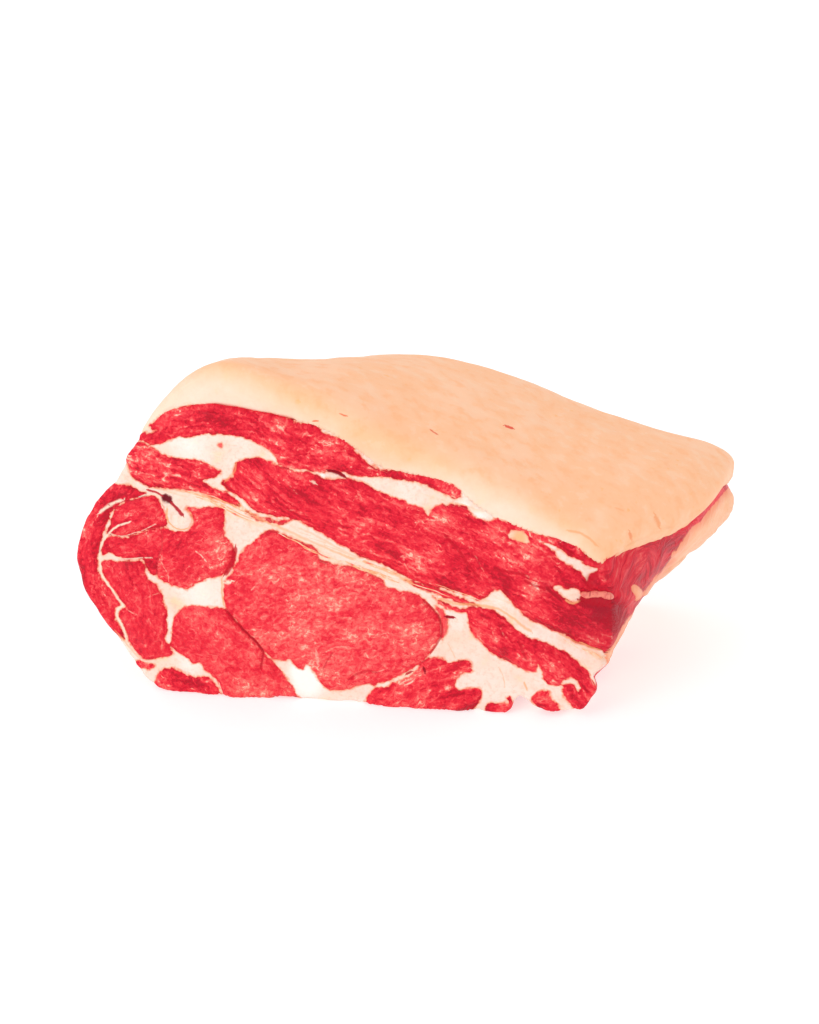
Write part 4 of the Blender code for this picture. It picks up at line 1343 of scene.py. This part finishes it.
# %% [markdown]
# ## Strands in the seams
#
# Torn ends of the muscles' sheets lie in the long seams as thin strands. They repeat and they follow
# a path on a surface, which is what Geometry Nodes is for. The tree copies the seam's path, gives
# each copy its own place across the seam and its own stretch of it, lets it wander, drops it on to
# the lean with a raycast, and sweeps a small round section along it.

# %% The tree of the strands
STRAND_INPUTS = {
    "Geometry": "Geometry", "Lean": "Object", "Count": "Int", "Spread": "Float", "Wander": "Float",
    "Longest": "Float", "Radius": "Float", "Seed": "Int", "Finish": "Material"}
LIFTED_OFF, RAY_LENGTH = 0.02, 0.06
BACKWARDS = (0.0, 1.0, 0.0)
STRAND_POINTS, SECTION_SIDES = 24, 6

tree, given, out = new_group("strands", STRAND_INPUTS, {"Geometry": "Geometry"}, "GeometryNodeTree")
strands_tree = tree


def geo(kind, inputs=(), **settings):
    return add_node(strands_tree, "GeometryNode" + kind, inputs, **settings)


copies = geo(
    "DuplicateElements", {"Geometry": given["Geometry"], "Amount": given["Count"]}, domain="SPLINE")
numbered = geo("StoreNamedAttribute", {
    "Geometry": copies.outputs["Geometry"], "Name": "strand", "Value": copies.outputs["Duplicate Index"]},
    data_type="INT", domain="CURVE")
strand = geo("InputNamedAttribute", {"Name": "strand"}, data_type="INT").outputs["Attribute"]


def drawn(low, high, salt):
    """A random number for each strand."""
    inputs = {2: low, 3: high, "ID": strand, "Seed": plus(strands_tree, given["Seed"], salt)}
    return add_node(strands_tree, "FunctionNodeRandomValue", inputs, data_type="FLOAT").outputs[1]


start = drawn(0.0, 0.9, 1)
end = plus(tree, start, times(tree, drawn(0.3, 1.0, 2), given["Longest"]))
trimmed = geo(
    "TrimCurve", {"Curve": numbered.outputs["Geometry"], "Start": start, "End": end}, mode="FACTOR")
fine_curve = geo("ResampleCurve", {"Curve": trimmed.outputs["Curve"], "Count": STRAND_POINTS})

# %% Let each strand wander off the path, and drop it on to the lean
sideways = vectors(tree, "CROSS_PRODUCT", {0: geo("InputTangent").outputs[0], 1: BACKWARDS})
own_place = place(tree, "CombineXYZ", {0: strand, 1: strand, 2: strand}).outputs[0]
apart = vectors(
    tree, "MULTIPLY_ADD", {0: geo("InputPosition").outputs[0], 1: (3.1, 1.7, 2.3), 2: own_place})
wander_by = times(tree, centred(tree, grains(tree, apart, 60.0)), given["Wander"])
across = plus(tree, times(tree, drawn(-1.0, 1.0, 3), given["Spread"]), wander_by)
offset = vectors(tree, "SCALE", {0: sideways, "Scale": across})
offset = vectors(tree, "ADD", {0: offset, 1: (0.0, -LIFTED_OFF, 0.0)})
moved_out = geo("SetPosition", {"Geometry": fine_curve.outputs["Curve"], "Offset": offset})
lean_now = geo("ObjectInfo", {"Object": given["Lean"]}, transform_space="ORIGINAL").outputs["Geometry"]
landed = geo("Raycast", {
    "Target Geometry": lean_now, "Ray Direction": BACKWARDS, "Ray Length": RAY_LENGTH})
laid = geo("SetPosition", {
    "Geometry": moved_out.outputs["Geometry"], "Position": landed.outputs["Hit Position"],
    "Selection": landed.outputs["Is Hit"]})

# %% Sweep a small round section along it, thinner at both ends
along_strand = geo("SplineParameter").outputs["Factor"]
taper = times(tree, times(tree, along_strand, maths(tree, "SUBTRACT", 1.0, along_strand)), 4.0)
taper = times(tree, maths(tree, "POWER", taper, 0.5), drawn(0.6, 1.3, 4))
section = geo("CurvePrimitiveCircle", {"Resolution": SECTION_SIDES, "Radius": 1.0})
swept = geo("CurveToMesh", {
    "Curve": laid.outputs["Geometry"], "Profile Curve": section.outputs["Curve"],
    "Scale": times(tree, taper, given["Radius"]), "Fill Caps": True})
realized = geo("RealizeInstances", {"Geometry": swept.outputs["Mesh"]})
finished = geo("SetMaterial", {"Geometry": realized.outputs["Geometry"], "Material": given["Finish"]})
tree.links.new(finished.outputs["Geometry"], out["Geometry"])
print("strands:", len(tree.nodes), "nodes")

# %% The strands' material: fibres that turn from cream through orange to pink
STRAND_CREAM, STRAND_ORANGE, STRAND_PINK = (253, 226, 198), (252, 186, 140), (246, 128, 112)
fibre, tree, surface = new_material(
    "seam_fibre", Specular_IOR_Level=0.2, Coat_Weight=0.05, Coat_Roughness=0.2)
spot = object_mm(tree)
hue = grains(tree, spot, 0.22, 3)
tone = blend(tree, step(tree, hue, 0.38, 0.52), STRAND_CREAM, STRAND_ORANGE)
tone = blend(tree, step(tree, hue, 0.55, 0.68), tone, STRAND_PINK)
dress(tree, surface, tone, ranged(tree, hue, 0.4, 0.6), grains(tree, spot, 1.2, 2), 0.3, 0.2 * MM)

# %% Grow the strands along the seams, each set as one mesh
STRANDS = {  # path, count, spread and wander in mm, longest share of the path, radius in mm, seed
    "seam_strands": (FIBROUS_SEAMS[0][1], 11, 3.6, 1.6, 0.22, 0.4, 3),
    "right_strands": ([(562, 638), (580, 648), (602, 660)], 4, 1.6, 1.2, 0.5, 0.35, 8),
}


def grown(name, spine, values):
    """Runs the tree on a path over the lean and returns a plain mesh object."""
    points_on = [on_lean(pixel) for pixel in smooth_path(spine, closed=False, steps=3)]
    curve = bpy.data.curves.new(name, "CURVE")
    curve.dimensions = "3D"
    spline = curve.splines.new("POLY")
    spline.points.add(len(points_on) - 1)
    for point, at in zip(spline.points, points_on):
        point.co = (*at, 1)
    holder = new_object(name, curve)
    grower = holder.modifiers.new("strands", "NODES")
    grower.node_group = strands_tree
    for item in strands_tree.interface.items_tree:
        if item.name in values:
            grower[item.identifier] = values[item.name]
    mesh = bpy.data.meshes.new_from_object(holder.evaluated_get(bpy.context.evaluated_depsgraph_get()))
    bpy.data.objects.remove(holder)
    mesh.name = name
    mesh.shade_smooth()
    return new_object(name, mesh)


strand_pieces = []
for name, (spine, count, spread, wander_by, longest, radius, seed) in STRANDS.items():
    values = {
        "Lean": lean, "Count": count, "Spread": spread * MM, "Wander": wander_by * MM,
        "Longest": longest, "Radius": radius * MM, "Seed": seed, "Finish": fibre}
    strand_pieces.append(grown(name, spine, values))
    print(name, len(strand_pieces[-1].data.polygons), "faces")

# %% [markdown]
# ## Floor and light
#
# The photo is bright and almost shadowless, so a white world fills every side and one large, soft
# lamp from the upper left gives the forms their shape.

# %% Floor, lamp and world
FLOOR_HALF, FLOOR_DROP = 3.0, 0.2 * MM
LAMP_AIM = Vector((0, 0, 0.08))

floor_mesh = bpy.data.meshes.new("floor")
grid = bmesh.new()
bmesh.ops.create_grid(grid, x_segments=1, y_segments=1, size=FLOOR_HALF)
grid.to_mesh(floor_mesh)
grid.free()
floor = new_object("floor", floor_mesh)
floor.location.z = -FLOOR_DROP
white, tree, surface = new_material(
    "white_floor", Base_Color=(0.55, 0.55, 0.55, 1.0), Roughness=0.9, Emission_Color=(1.0, 1.0, 1.0, 1.0),
    Emission_Strength=0.56)
floor_mesh.materials.append(white)


def soft_lamp(name, stands_at, size, watts):
    """A square lamp that faces the middle of the joint."""
    lamp = bpy.data.lights.new(name, "AREA")
    lamp.size = size
    lamp.energy = watts
    turn = (LAMP_AIM - Vector(stands_at)).to_track_quat("-Z", "Y")
    holder = new_object(name, lamp)
    holder.matrix_world = Matrix.Translation(stands_at) @ turn.to_matrix().to_4x4()


soft_lamp("key", (-0.9, -1.3, 0.9), 0.7, 6)
world = bpy.data.worlds.new("white")
world.use_nodes = True
background = world.node_tree.nodes["Background"]
background.inputs["Color"].default_value = (1, 1, 1, 1)
background.inputs["Strength"].default_value = 0.96
bpy.context.scene.world = world
bpy.context.scene.view_settings.view_transform = "Standard"

# %% Hang the pieces under the root body, and hide the solids that the lean and the cap replace
for piece, node, slot in ((lean, "lean", "lean"), (cap, "fat_cap", "fat")):
    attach(piece, "root")
    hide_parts(node)
for piece, slot in ((vessel, "lean"), *((piece, "fat") for piece in strand_pieces)):
    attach(piece, "root")
